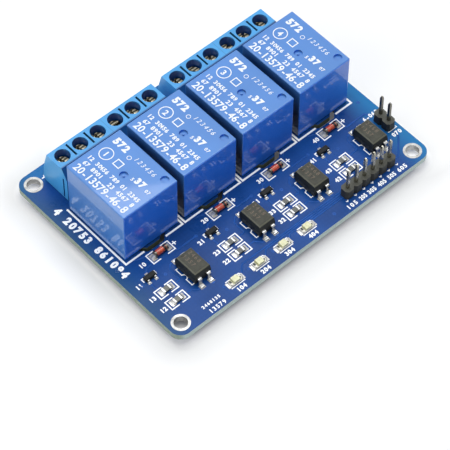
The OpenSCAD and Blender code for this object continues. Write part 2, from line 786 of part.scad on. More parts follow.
// One lead at the back of every transistor and two in front; +Y of a child points away from it
module at_transistor_sides() {
    for (i = [0:CHANNELS - 1])
        translate([channel_x(i) + transistor_shift[i], transistor_y, 0])
            for (lead = [[0, 0], [180, -transistor_lead_spacing], [180, transistor_lead_spacing]])
                rotate(lead[0]) translate([lead[1], transistor_width / 2, 0]) children();
}

module at_transistor_feet() {
    at_transistor_sides()
        translate([0, (transistor_span - transistor_width) / 2 - transistor_foot / 2, 0]) children();
}

module transistor_bodies() {
    color("#232426") for (i = [0:CHANNELS - 1])
        translate([channel_x(i) + transistor_shift[i], transistor_y, pad_top + transistor_stand])
            moulded_package(transistor_length, transistor_width, transistor_height,
                transistor_lead_thickness + 0.05, transistor_draft, transistor_draft);
}

module transistor_leads() {
    color("#c4c6c4") translate([0, 0, pad_top]) at_transistor_sides()
        gull_lead(transistor_stand + (transistor_height + transistor_lead_thickness) / 2,
            (transistor_span - transistor_width) / 2, transistor_foot,
            transistor_lead_thickness, transistor_lead_width);
}

// ---------------------------------------------------------------- diodes

module at_diodes() {
    for (i = [0:CHANNELS - 1]) translate([channel_x(i) + diode_shift[i], diode_y, 0]) children();
}

// Repeats what it is given at both ends, along X
module pair(run) {
    for (side = [-1, 1]) translate([side * run, 0, 0]) children();
}

module diode_glass() {
    length = diode_length - 2 * diode_cap_length;
    color("#d9552a") at_diodes() translate([-length / 2, 0, pad_top + diode_diameter / 2])
        rotate([0, 90, 0]) cylinder(d = diode_glass_diameter, h = length);
}

module diode_caps() {
    inset = (diode_length - diode_cap_length) / 2;
    color("#c2c3bf") pair(inset) at_diodes()
        translate([-diode_cap_length / 2, 0, pad_top + diode_diameter / 2])
            rotate([0, 90, 0]) cylinder(d = diode_diameter, h = diode_cap_length);
}

// ---------------------------------------------------------------- resistors

module at_resistors() {
    for (i = [0:CHANNELS - 1], row = [0, 1])
        translate([channel_x(i) + resistor_shift[i], resistor_y - row * resistor_spacing[i], 0])
            children();
}

// The part of a resistor's body that its metal ends wrap
module resistor_core(margin) {
    translate([0, 0, resistor_plating])
        plate(resistor_length - 2 * resistor_plating, resistor_width + margin,
            resistor_height - 2 * resistor_plating);
}

module resistor_bodies() {
    waist = resistor_length - 2 * resistor_end;
    color("#3a3c3d") translate([0, 0, pad_top]) at_resistors() {
        resistor_core(0);
        plate(waist, resistor_width, resistor_height);
    }
}

module resistor_ends() {
    middle = (resistor_length - resistor_end) / 2;
    color("#cfd0cd") translate([0, 0, pad_top]) at_resistors() difference() {
        pair(middle) plate(resistor_end, resistor_width, resistor_height);
        resistor_core(1);
    }
}

// ---------------------------------------------------------------- indicator lamps

module at_leds() {
    for (i = [0:CHANNELS - 1]) translate([led_x(i), led_y, 0]) children();
}

module led_bases() {
    color("#e9e6da") translate([0, 0, pad_top]) at_leds() difference() {
        plate(led_length, led_width, led_base_height);
        for (x = [-1, 1], y = [-1, 1]) translate([x * led_length / 2, y * led_width / 2, -1])
            cylinder(r = led_notch, h = led_base_height + 2);
    }
}

module led_lenses() {
    half = led_length / 2 - led_terminal;
    color("#f1efb8") translate([0, 0, pad_top + led_base_height]) at_leds()
        translate([0, -led_lens_width / 2, 0]) along_y(led_lens_width)
            polygon([[-half, 0], [half, 0],
                [half - led_draft, led_lens_height], [led_draft - half, led_lens_height]]);
}

// ---------------------------------------------------------------- pin headers

// A strip of eight-sided cells, with a square hole for each pin
module header_strip(place, count, turn) {
    half = header_pitch / 2;
    translate([0, 0, pad_top]) difference() {
        at_header_pins(place, count, turn) linear_extrude(header_height) polygon([
            [-half, cell_chamfer - half], [cell_chamfer - half, -half],
            [half - cell_chamfer, -half], [half, cell_chamfer - half],
            [half, half - cell_chamfer], [half - cell_chamfer, half],
            [cell_chamfer - half, half], [-half, half - cell_chamfer]
        ]);
        at_header_pins(place, count, turn) translate([0, 0, -1])
            plate(header_pin_width + 2 * seat_clearance, header_pin_width + 2 * seat_clearance,
                header_height + 2);
    }
}

// A square pin with a tapered point at both ends
module header_pin() {
    side = header_pin_width;
    corner = side / sqrt(2);
    tip = corner * pin_taper;
    from = -lead_tail;
    to = top + header_pin_height;
    translate([0, 0, from + pin_point]) plate(side, side, to - from - 2 * pin_point);
    rotate(45) {
        translate([0, 0, to - pin_point]) cylinder(r1 = corner, r2 = tip, h = pin_point, $fn = 4);
        translate([0, 0, from]) cylinder(r1 = tip, r2 = corner, h = pin_point, $fn = 4);
    }
}

module signal_header_strip() {
    color("#1a1a1c") header_strip(signal_header_at, signal_pins, 0);
}

module signal_header_pins() {
    color("#c8bd92") at_header_pins(signal_header_at, signal_pins, 0) header_pin();
}

module power_header_strip() {
    color("#1a1a1c") header_strip(power_header_at, power_pins, 90);
}

module power_header_pins() {
    color("#c8bd92") at_header_pins(power_header_at, power_pins, 90) header_pin();
}

// ---------------------------------------------------------------- nodes

circuit_board();
mounting_hole_plating();
solder_pads();
solder_joints();
for (i = [1:CHANNELS]) {
    relay_case(i - 1);
    relay_base(i - 1);
    optocoupler(i - 1);
}
relay_pins();
for (i = [1:BLOCKS])
    terminal_block(i - 1);
terminal_contacts();
for (i = [1:POLES]) {
    terminal_screw(i - 1);
    wire_clamp(i - 1);
}
optocoupler_leads();
transistor_bodies();
transistor_leads();
diode_glass();
diode_caps();
resistor_bodies();
resistor_ends();
led_bases();
led_lenses();
signal_header_strip();
signal_header_pins();
power_header_strip();
power_header_pins();
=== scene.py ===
"""Looks of a four-relay board: finishes, tracks, print, solder, screw threads and stage."""
import math

import bmesh
import bpy
from mathutils import Matrix, Vector


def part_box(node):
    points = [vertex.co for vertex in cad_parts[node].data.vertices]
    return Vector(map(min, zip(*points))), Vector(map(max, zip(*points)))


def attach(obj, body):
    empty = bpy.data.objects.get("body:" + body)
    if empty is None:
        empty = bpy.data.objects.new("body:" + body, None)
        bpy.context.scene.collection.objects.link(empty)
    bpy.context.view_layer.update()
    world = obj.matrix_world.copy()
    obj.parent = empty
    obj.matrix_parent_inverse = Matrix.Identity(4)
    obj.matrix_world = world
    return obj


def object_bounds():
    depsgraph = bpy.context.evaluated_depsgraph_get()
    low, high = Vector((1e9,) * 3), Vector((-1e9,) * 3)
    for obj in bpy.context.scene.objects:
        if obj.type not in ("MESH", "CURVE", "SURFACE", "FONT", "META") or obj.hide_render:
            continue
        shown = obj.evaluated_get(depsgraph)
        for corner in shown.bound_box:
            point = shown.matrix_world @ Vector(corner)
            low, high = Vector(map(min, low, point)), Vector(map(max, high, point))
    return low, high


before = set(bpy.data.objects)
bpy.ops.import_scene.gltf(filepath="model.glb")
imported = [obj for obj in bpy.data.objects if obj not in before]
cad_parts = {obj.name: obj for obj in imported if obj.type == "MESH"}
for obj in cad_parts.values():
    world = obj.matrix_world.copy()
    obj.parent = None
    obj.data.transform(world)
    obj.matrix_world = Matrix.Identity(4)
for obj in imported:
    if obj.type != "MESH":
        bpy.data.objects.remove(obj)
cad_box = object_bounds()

bl_info = {
    "name": "Relay Board Finisher",
    "version": (1, 0, 0),
    "blender": (4, 5, 0),
    "location": "View3D > Sidebar > Relay Board",
    "description": "Dresses a packed relay board with finishes, tracks, print, solder and threads",
    "category": "Object",
}

MM = 0.001
ROOT = "board"
CHANNELS = 4
POLES = 12
CAPITAL_HEIGHT = 0.73  # of the print's font, for the dash


# --- Places on the board, in millimetres, all read from the packed nodes

def box_of(node):
    low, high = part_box(node)
    return low / MM, high / MM


def middle(box):
    return (box[0] + box[1]) / 2


def solids(node):
    """The box of each separate solid of a node, from the front row to the back, left to right."""
    shape = bmesh.new()
    shape.from_mesh(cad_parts[node].data)
    bmesh.ops.remove_doubles(shape, verts=shape.verts, dist=1e-6)
    left, found = set(shape.verts), []
    while left:
        reached, places = [left.pop()], []
        while reached:
            vertex = reached.pop()
            places.append(vertex.co / MM)
            for edge in vertex.link_edges:
                other = edge.other_vert(vertex)
                if other in left:
                    left.remove(other)
                    reached.append(other)
        found.append(tuple(Vector(pick(p[i] for p in places) for i in range(3))
                           for pick in (min, max)))
    shape.free()
    return sorted(found, key=lambda box: (round(box[0].y), box[0].x))


board_low, board_high = box_of("circuit_board")
TOP = board_high.z
relays, terminals, optos, screws = (
    [box_of(name.format(i + 1)) for i in range(count)] for name, count in (
        ("relay_{}_case", CHANNELS), ("terminal_block_{}", CHANNELS), ("optocoupler_{}", CHANNELS),
        ("terminal_screw_{}", POLES)))
opto_leads = solids("optocoupler_leads")
diodes = solids("diode_glass")
diode_ends = solids("diode_caps")
transistors = solids("transistor_bodies")
transistor_feet = solids("transistor_leads")
resistors = solids("resistor_bodies")
resistor_ends = solids("resistor_ends")
lamp_bases = solids("led_bases")
pads = solids("solder_pads")
header = box_of("signal_header_strip")
power_header = box_of("power_header_strip")


# --- Meshes

def add_object(name, mesh):
    made = bpy.data.objects.new(name, mesh)
    bpy.context.scene.collection.objects.link(made)
    return made


def plain_mesh(name, vertices, faces=(), edges=()):
    """A mesh from places in millimetres."""
    mesh = bpy.data.meshes.new(name)
    mesh.from_pydata([Vector(v) * MM for v in vertices], edges, faces)
    mesh.update()
    return mesh


def clean(mesh, dist=1e-7):
    """Merges doubled points and turns all faces outwards."""
    shape = bmesh.new()
    shape.from_mesh(mesh)
    bmesh.ops.remove_doubles(shape, verts=shape.verts, dist=dist)
    bmesh.ops.dissolve_degenerate(shape, edges=shape.edges, dist=dist)
    bmesh.ops.recalc_face_normals(shape, faces=shape.faces)
    shape.to_mesh(mesh)
    shape.free()
    return mesh


def evaluated(source):
    graph = bpy.context.evaluated_depsgraph_get()
    return bpy.data.meshes.new_from_object(source.evaluated_get(graph))


def seat(piece, body):
    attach(piece, body)
    return piece


def arc(centre, radius, start, end, steps):
    """Points on an arc, by angles in degrees."""
    angles = (math.radians(start + (end - start) * i / steps) for i in range(steps + 1))
    return [(centre[0] + radius * math.cos(a), centre[1] + radius * math.sin(a)) for a in angles]


class Ink:
    """Flat printed shapes of one thickness on one level, gathered into one mesh."""

    glyphs = {}

    def __init__(self, level, thickness, centre=(0, 0)):
        self.level, self.thickness, self.centre = level, thickness, centre
        self.vertices, self.faces = [], []

    def prism(self, outline, faces):
        """Points (x, y, raised or not) and faces that make one closed shell."""
        first = len(self.vertices)
        for x, y, raised in outline:
            self.vertices.append((self.centre[0] + x, self.centre[1] + y,
                                  self.level + self.thickness * raised))
        self.faces += [[first + i for i in face] for face in faces]

    def area(self, points):
        """A filled convex outline."""
        count = len(points)
        rim = [(x, y, raised) for raised in (0, 1) for x, y in points]
        walls = [(i, (i + 1) % count, (i + 1) % count + count, i + count) for i in range(count)]
        self.prism(rim, [list(range(count)), list(range(count, 2 * count))] + walls)

    def line(self, points, width, closed=False):
        """A line with mitred corners."""
        count, sides = len(points), []
        for i, (x, y) in enumerate(points):
            here, before, after = Vector((x, y)), None, None
            if closed or i:
                before = here - Vector(points[i - 1])
            if closed or i < count - 1:
                after = Vector(points[(i + 1) % count]) - here
            one = (before or after).normalized()
            two = (after or before).normalized()
            across = Vector((-one.y - two.y, one.x + two.x))
            across = across.normalized() * width / 2
            across /= max(0.3, across.normalized().dot(Vector((-one.y, one.x))))
            sides.append(((x + across.x, y + across.y), (x - across.x, y - across.y)))
        rim = [(*side, raised) for pair in sides for side, raised in
               ((pair[0], 0), (pair[1], 0), (pair[1], 1), (pair[0], 1))]
        faces = []
        for i in range(count if closed else count - 1):
            a, b = 4 * i, 4 * ((i + 1) % count)
            faces += [(a + k, a + (k + 1) % 4, b + (k + 1) % 4, b + k) for k in range(4)]
        if not closed:
            faces += [(0, 1, 2, 3), tuple(4 * count - 4 + k for k in range(4))]
        self.prism(rim, faces)

    def box(self, x0, y0, x1, y1, width):
        self.line([(x0, y0), (x1, y0), (x1, y1), (x0, y1)], width, closed=True)

    @classmethod
    def glyph(cls, sign, weight):
        """The shape of one digit, one unit tall, with weight added to its strokes."""
        if (sign, weight) not in cls.glyphs:
            text = bpy.data.curves.new("digit", "FONT")
            text.body, text.extrude, text.offset = sign, 0.5, weight
            text.resolution_u = 3
            holder = add_object("digit", text)
            mesh = evaluated(holder)
            bpy.data.objects.remove(holder)
            low = Vector(min(v.co[i] for v in mesh.vertices) for i in range(3))
            high = Vector(max(v.co[i] for v in mesh.vertices) for i in range(3))
            tall = CAPITAL_HEIGHT if sign == "-" else high.y - low.y
            base = 0 if sign == "-" else low.y
            points = [((v.co.x - (low.x + high.x) / 2) / tall, (v.co.y - base) / tall,
                       int(v.co.z > 0)) for v in mesh.vertices]
            cls.glyphs[sign, weight] = points, [tuple(face.vertices) for face in mesh.polygons]
            bpy.data.meshes.remove(mesh)
        return cls.glyphs[sign, weight]

    def number(self, text, start, height, pitch, reads, weight, narrow=1.0, lean=0.0):
        """Digits on one pitch from start, which is the middle of the first digit's foot."""
        along, up = Vector(reads), Vector((-reads[1], reads[0]))
        for i, sign in enumerate(text):
            if sign == " ":
                continue
            points, faces = self.glyph(sign, weight)
            foot = Vector(start) + along * pitch * i
            outline = []
            for x, y, raised in points:
                spot = foot + along * (x * narrow + y * lean) * height + up * y * height
                outline.append((spot.x, spot.y, raised))
            self.prism(outline, faces)

    def piece(self, name, material, slot):
        mesh = clean(plain_mesh(name, self.vertices, self.faces), dist=2e-7)
        mesh.materials.append(material)
        return seat(add_object(name, mesh), ROOT)


# --- Node trees

def add_node(tree, kind, inputs=None, **settings):
    """Adds a node, makes its settings, and joins or fills its inputs."""
    made = tree.nodes.new(kind)
    for key, value in settings.items():
        setattr(made, key, value)
    for key, value in (inputs or {}).items():
        if isinstance(value, bpy.types.NodeSocket):
            tree.links.new(value, made.inputs[key])
        else:
            made.inputs[key].default_value = value
    return made


class ShapeTree:
    """A geometry node tree with named inputs; its result wears the finish of its Material input."""

    def __init__(self, name, **sockets):
        self.tree = bpy.data.node_groups.new(name, "GeometryNodeTree")
        for label, kind in (("Geometry", "Geometry"), *sockets.items(), ("Material", "Material")):
            self.tree.interface.new_socket(label, in_out="INPUT", socket_type="NodeSocket" + kind)
        self.tree.interface.new_socket("Geometry", in_out="OUTPUT", socket_type="NodeSocketGeometry")
        self.given = add_node(self.tree, "NodeGroupInput").outputs

    def add(self, kind, inputs, **settings):
        """Adds a geometry node and gives its first output."""
        return add_node(self.tree, "GeometryNode" + kind, inputs, **settings).outputs[0]

    def sweep(self, curve, section):
        """Draws a section along a curve and keeps it upright."""
        upright = self.add("SetCurveNormal", {"Curve": curve}, mode="Z_UP")
        return self.add("CurveToMesh", {"Curve": upright, "Profile Curve": section, "Fill Caps": True})

    def close(self, shape):
        """Ends the tree in real geometry."""
        real = self.add("RealizeInstances", {"Geometry": shape})
        finish = self.add("SetMaterial", {"Geometry": real, "Material": self.given["Material"]})
        add_node(self.tree, "NodeGroupOutput", {"Geometry": finish})
        return self.tree


def track_tree():
    """Rounded flat tracks along the edges of a mesh."""
    t = ShapeTree("Track", Width="Float", Thickness="Float", Bend="Float")
    path = t.add("MeshToCurve", {"Mesh": t.given["Geometry"]})
    bent = t.add("FilletCurve", {"Curve": path, "Radius": t.given["Bend"], "Limit Radius": True,
                                 "Count": 4}, mode="POLY")
    section = t.add("CurvePrimitiveQuadrilateral", {"Width": t.given["Width"],
                                                    "Height": t.given["Thickness"]})
    return t.close(t.sweep(bent, section))


def stamp_tree():
    """One shape set at every point of a mesh, turned and stretched by the points' attributes."""
    t = ShapeTree("Stamp", Shape="Object")
    turn, stretch = (add_node(t.tree, "GeometryNodeInputNamedAttribute", {"Name": name},
                              data_type=kind).outputs["Attribute"]
                     for name, kind in (("turn", "FLOAT"), ("stretch", "FLOAT_VECTOR")))
    angles = add_node(t.tree, "ShaderNodeCombineXYZ", {"Z": turn}).outputs[0]
    shape = add_node(t.tree, "GeometryNodeObjectInfo", {"Object": t.given["Shape"]})
    return t.close(t.add("InstanceOnPoints", {
        "Points": t.add("MeshToPoints", {"Mesh": t.given["Geometry"]}),
        "Instance": shape.outputs["Geometry"], "Rotation": angles, "Scale": stretch}))


def thread_tree():
    """A raised ridge that winds up a shank."""
    t = ShapeTree("Thread", Radius="Float", Ridge="Float", Pitch="Float", Turns="Float", Foot="Vector")
    height = add_node(t.tree, "ShaderNodeMath", {0: t.given["Pitch"], 1: t.given["Turns"]},
                      operation="MULTIPLY").outputs[0]
    coil = t.add("CurveSpiral", {"Resolution": 20, "Rotations": t.given["Turns"], "Height": height,
                                 "Start Radius": t.given["Radius"], "End Radius": t.given["Radius"]})
    section = t.add("CurvePrimitiveCircle", {"Resolution": 4, "Radius": t.given["Ridge"]})
    return t.close(t.add("Transform", {"Geometry": t.sweep(coil, section),
                                       "Translation": t.given["Foot"]}))


def grow(tree, name, source, values):
    """Runs a tree on a mesh and keeps the result as a plain mesh."""
    made = add_object(name, source)
    modifier = made.modifiers.new(name, "NODES")
    modifier.node_group = tree
    for item in tree.interface.items_tree:
        if item.in_out == "INPUT" and item.name in values:
            modifier[item.identifier] = values[item.name]
    mesh = evaluated(made)
    made.modifiers.clear()
    made.data = clean(mesh)
    made.data.name = name
    return made


def paths_mesh(name, paths, level):
    """Open paths of (x, y) places as loose edges on one level."""
    vertices, edges = [], []
    for path in paths:
        first = len(vertices)
        vertices += [(x, y, level) for x, y in path]
        edges += [(first + i, first + i + 1) for i in range(len(path) - 1)]
    return plain_mesh(name, vertices, edges=edges)


def points_mesh(name, places):
    """Loose points with a turn in degrees and a stretch, from (place, turn, stretch) rows."""
    mesh = plain_mesh(name, [place for place, _, _ in places])
    turns = mesh.attributes.new("turn", "FLOAT", "POINT")
    turns.data.foreach_set("value", [math.radians(turn) for _, turn, _ in places])
    stretches = mesh.attributes.new("stretch", "FLOAT_VECTOR", "POINT")
    stretches.data.foreach_set("vector", [c for _, _, stretch in places for c in stretch])
    return mesh


# --- Finishes

class Finish:
    """A surface finish: one shader, and the nodes that give it its detail."""

    def __init__(self, name, colour, roughness, **more):
        self.material = bpy.data.materials.new(name)
        self.material.use_nodes = True
        self.tree = self.material.node_tree
        self.surface = next(n for n in self.tree.nodes if n.type == "BSDF_PRINCIPLED")
        for key, value in {"Base_Color": (*colour, 1), "Roughness": roughness, **more}.items():
            self.surface.inputs[key.replace("_", " ")].default_value = value
        self.material.diffuse_color = (*colour, 1)
        self.here = self.node("TexCoord").outputs["Object"]

    def node(self, kind, inputs=None, **settings):
        return add_node(self.tree, "ShaderNode" + kind, inputs, **settings)

    def noise(self, grain, detail=3.0, stretch=(1, 1, 1), roughness=0.55):
        """Noise whose patches measure about grain millimetres."""
        where = self.node("Mapping", {"Vector": self.here, "Scale": stretch})
        return self.node("TexNoise", {"Vector": where.outputs[0], "Scale": 0.5 / (grain * MM),
                                      "Detail": detail, "Roughness": roughness}).outputs["Fac"]

    def stripes(self, scale, distortion, detail, direction):
        """Wavy stripes across one axis."""
        return self.node("TexWave", {"Vector": self.here, "Scale": scale / MM,
                                     "Distortion": distortion, "Detail": detail},
                         bands_direction=direction).outputs["Fac"]

    def span(self, value, low, high, start=0.0, end=1.0):
        """Brings a value that runs from low to high onto start to end, and holds it there."""
        return self.node("MapRange", {"Value": value, "From Min": low, "From Max": high,
                                      "To Min": start, "To Max": end}).outputs[0]

    def math(self, kind, one, two=0.0):
        return self.node("Math", {0: one, 1: two}, operation=kind).outputs[0]

    def sum(self, one, two):
        return self.math("ADD", one, two)

    def less(self, one, two):
        return self.math("SUBTRACT", one, two)

    def times(self, one, two):
        return self.math("MULTIPLY", one, two)

    def most(self, one, two):
        return self.math("MAXIMUM", one, two)

    def size(self, value):
        return self.math("ABSOLUTE", value)

    def distance(self, one, two):
        """The length of a diagonal."""
        squares = self.sum(self.math("POWER", one, 2.0), self.math("POWER", two, 2.0))
        return self.math("POWER", squares, 0.5)

    def mix(self, part, one, two):
        """A colour between two, each a socket or three numbers."""
        blend = self.node("Mix", {"Factor": part}, data_type="RGBA")
        for socket, colour in ((blend.inputs[6], one), (blend.inputs[7], two)):
            if isinstance(colour, bpy.types.NodeSocket):
                self.tree.links.new(colour, socket)
            else:
                socket.default_value = (*colour, 1)
        return blend.outputs[2]

    def coats(self, body, *layers):
        """Colours laid over a first one, each with the share of it that covers."""
        for share, colour in layers:
            body = self.mix(share, body, colour)
        self.use("Base Color", body)

    def axes(self, vector=None):
        return self.node("SeparateXYZ", {0: vector or self.here}).outputs

    def facing(self):
        """The way a face looks, by axis."""
        return self.axes(self.node("NewGeometry").outputs["True Normal"])

    def use(self, socket, value):
        self.tree.links.new(value, self.surface.inputs[socket])

    def bumps(self, *layers):
        """Stacked relief, each layer a height socket and its depth in millimetres; ends the finish."""
        normal = None
        for height, depth in layers:
            inputs = {"Height": height, "Distance": depth * MM}
            if normal:
                inputs["Normal"] = normal
            normal = self.node("Bump", inputs).outputs[0]
        self.use("Normal", normal)
        return self.material


def tint(colour, factor, lift=0.0):
    return tuple(min(1.0, c * factor + lift) for c in colour)


def board_finish(look):
    """Blue solder mask on both faces, and bare glass laminate on the cut edges; painted reflections lighten
    the mask in strips along the left, right and back edges, and painted shade darkens the left and right
    cut edges and the walls of slots and holes.
    """
    blue, cut, shaded_cut_side = look.mask_colour, look.laminate_colour, look.laminate_side_shade_colour
    f = Finish("board_mask_and_laminate", blue, 0.34, Specular_IOR_Level=0.16)
    weave = f.times(f.stripes(0.32, 1.5, 1.0, "X"), f.stripes(0.32, 1.5, 1.0, "Y"))
    specks = f.span(f.noise(0.35, 4.0), 0.45, 0.75)
    x, y, _ = f.axes()
    turned_x, _, turned_z = f.facing()
    half_x, half_y = board_high.x * MM, board_high.y * MM
    # Painted reflection: the mask is lighter and bluer in strips along the right and back edges, and greyer
    # along the left edge.
    right = f.span(x, half_x - 7 * MM, half_x - MM)
    back = f.times(f.span(y, half_y - 5 * MM, half_y - 2 * MM), 0.7)
    left = f.span(x, 5 * MM - half_x, 0.5 * MM - half_x)
    clouds = f.span(f.noise(7.0, 2.0), 0.38, 0.62)
    mask = f.mix(clouds, tint(blue, 0.86), tint(blue, 1.12))
    mask = f.mix(f.times(weave, 0.12), mask, tint(blue, 1.5, 0.004))
    mask = f.mix(f.times(specks, 0.12), mask, tint(blue, 0.6))
    mask = f.mix(f.most(right, back), mask, look.mask_right_reflection_colour)
    mask = f.mix(f.times(left, 0.6), mask, look.mask_left_reflection_colour)
    plies = f.stripes(1.1, 3.0, 2.0, "Z")
    fibres = f.span(f.noise(0.5, 4.0, (1, 1, 6)), 0.35, 0.7)
    # Painted shade: the walls of slots and holes, away from the outer edges, are darker laminate.
    inside = f.times(*(f.span(f.size(place), half - 2 * MM, half - MM, 1.0, 0.0)
                       for place, half in ((x, half_x), (y, half_y))))
    flat = f.span(f.size(turned_z), 0.45, 0.55)
    # Painted shade: cut edges that face left or right take a darker copy of the laminate colour.
    f.coats(f.mix(f.span(f.size(turned_x), 0.3, 0.8), cut, shaded_cut_side),
            (f.times(plies, 0.5), tint(shaded_cut_side, 0.85)),
            (f.times(fibres, 0.4), tint(cut, 1.12, 0.02)),
            (inside, look.slot_shade_colour),
            (flat, mask))
    f.use("Roughness", f.sum(f.span(f.noise(2.5, 4.0), 0.3, 0.7, 0.26, 0.38),
                             f.span(flat, 0.0, 1.0, 0.3, 0.0)))
    return f.bumps((f.noise(3.0, 1.0), 0.02), (specks, 0.004), (weave, 0.003))


def raised_mask_finish(look):
    """Solder mask over copper: paler, and with a softer surface."""
    blue = look.mask_colour
    f = Finish("mask_over_copper", tint(blue, 1.4, 0.006), 0.34, Specular_IOR_Level=0.16)
    f.coats(tint(blue, 1.2, 0.004), (f.span(f.noise(1.2), 0.35, 0.65), tint(blue, 1.55, 0.01)))
    return f.bumps((f.noise(0.5, 2.0), 0.006))


def metal_finish(name, colour, roughness, grain=0.25, depth=0.006, metal=1.0, glow=0.0):
    """Plated or tinned metal with patches of duller film."""
    # A glow above nought makes the metal give off light in its own colour: painted light.
    f = Finish(name, colour, roughness, Metallic=metal, Emission_Strength=glow,
               Emission_Color=(*colour, 1))
    patches = f.span(f.noise(grain * 3, 4.0), 0.35, 0.7)
    fine = f.noise(grain, 3.0)
    dull = 0.35
    f.coats(colour, (patches, tint(colour, 0.78)))
    f.use("Roughness", f.sum(f.span(patches, 0.0, 1.0, roughness * (1 - dull), roughness * (1 + dull)),
                             f.span(fine, 0.3, 0.7, -0.03, 0.05)))
    return f.bumps((patches, depth), (fine, depth * 0.5))


def screw_finish(look):
    """Yellow zinc with coarse turning marks in relief: painted highlight streaks over a near-black base of
    painted shade.
    """
    f = Finish("screw_zinc", look.screw_colour, 0.3, Metallic=0.55)
    # Painted highlights and shade: streaks of the plating colour over a near-black colour for the shade
    # deep in the wells.
    painted_glints = f.span(f.stripes(0.4, 2.5, 2.0, "Y"), 0.55, 0.85)
    f.coats(look.screw_shade_colour, (painted_glints, look.screw_colour))
    f.use("Roughness", f.span(painted_glints, 0.0, 1.0, 0.45, 0.25))
    return f.bumps((painted_glints, 0.03), (f.noise(0.25, 3.0), 0.01))


def moulded_finish(name, colour, roughness, grain=0.4, shade=0.12):
    """Moulded plastic with a fine grain, faint flow marks and rubbed patches."""
    f = Finish(name, colour, roughness)
    flow = f.span(f.noise(grain * 12, 3.0, (1, 1, 0.4)), 0.3, 0.7)
    fine, depth = f.noise(grain, 4.0), 0.006
    f.coats(tint(colour, 1 - shade), (flow, tint(colour, 1 + shade)),
            (f.span(fine, 0.55, 0.8, 0.0, 0.35), tint(colour, 1.15, 0.01)))
    f.use("Roughness", f.sum(f.span(flow, 0.0, 1.0, roughness - 0.05, roughness + 0.05),
                             f.span(fine, 0.3, 0.7, -0.03, 0.04)))
    return f.bumps((fine, depth), (f.noise(grain * 5, 2.0), depth * 2))


def case_finish(look):
    """Glossy blue relay case: faint moulding waves, dust and hairline scratches, with painted shade on the
    front walls and in the gaps between cases, and painted light on the fronts towards the right and near
    the foot.
    """
    blue = look.case_colour
    f = Finish("relay_case_plastic", blue, 0.38, Coat_Weight=0.85, Coat_Roughness=0.03, Coat_IOR=1.45)
    waves, fine = f.noise(6.0, 2.0), f.noise(0.25, 4.0)
    scratch = f.span(f.noise(0.22, 3.0, (1, 0.06, 1)), 0.7, 0.78)
    dust = f.span(f.noise(0.5, 5.0, roughness=0.7), 0.68, 0.78)
    x, _, z = f.axes()
    turned_x, turned_y, _ = f.facing()
    low, top = relays[0][0].z * MM, relays[0][1].z * MM
    # Painted shade: the front walls take a deeper blue, lightened by a painted reflection towards the right
    # and by painted light near the foot.
    front = f.times(f.span(turned_y, -0.9, -0.5, 1.0, 0.0), look.front_shade)
    painted_light = f.most(f.span(x, 0.0, relays[-1][1].x * MM, 0.0, 0.5),
                  f.span(z, low, low + 6 * MM, 0.35, 0.0))
    # Painted shade: side walls in the gaps between cases darken with depth below the top.
    first, last = relays[0][0].x + 1.0, relays[-1][1].x - 1.0
    between = f.times(f.span(x, first * MM, (first + 0.2) * MM),
                      f.span(x, (last - 0.2) * MM, last * MM, 1.0, 0.0))
    gap_shade = f.times(f.times(between, f.span(f.size(turned_x), 0.6, 0.9)),
                  f.span(z, top - 0.5 * MM, top - 8 * MM, 0.35, 0.95))
    f.coats(tint(blue, 0.93), (f.span(waves, 0.3, 0.7), tint(blue, 1.07)),
            (f.times(dust, 0.18), (0.35, 0.5, 0.8)),
            (f.times(scratch, 0.12), (0.3, 0.45, 0.75)),
            (front, f.mix(painted_light, look.case_shade_colour, look.case_painted_light_colour)),
            (gap_shade, look.gap_shade_colour))
    f.use("Roughness", f.span(fine, 0.3, 0.7, 0.32, 0.45))
    return f.bumps((fine, 0.003), (waves, 0.015))


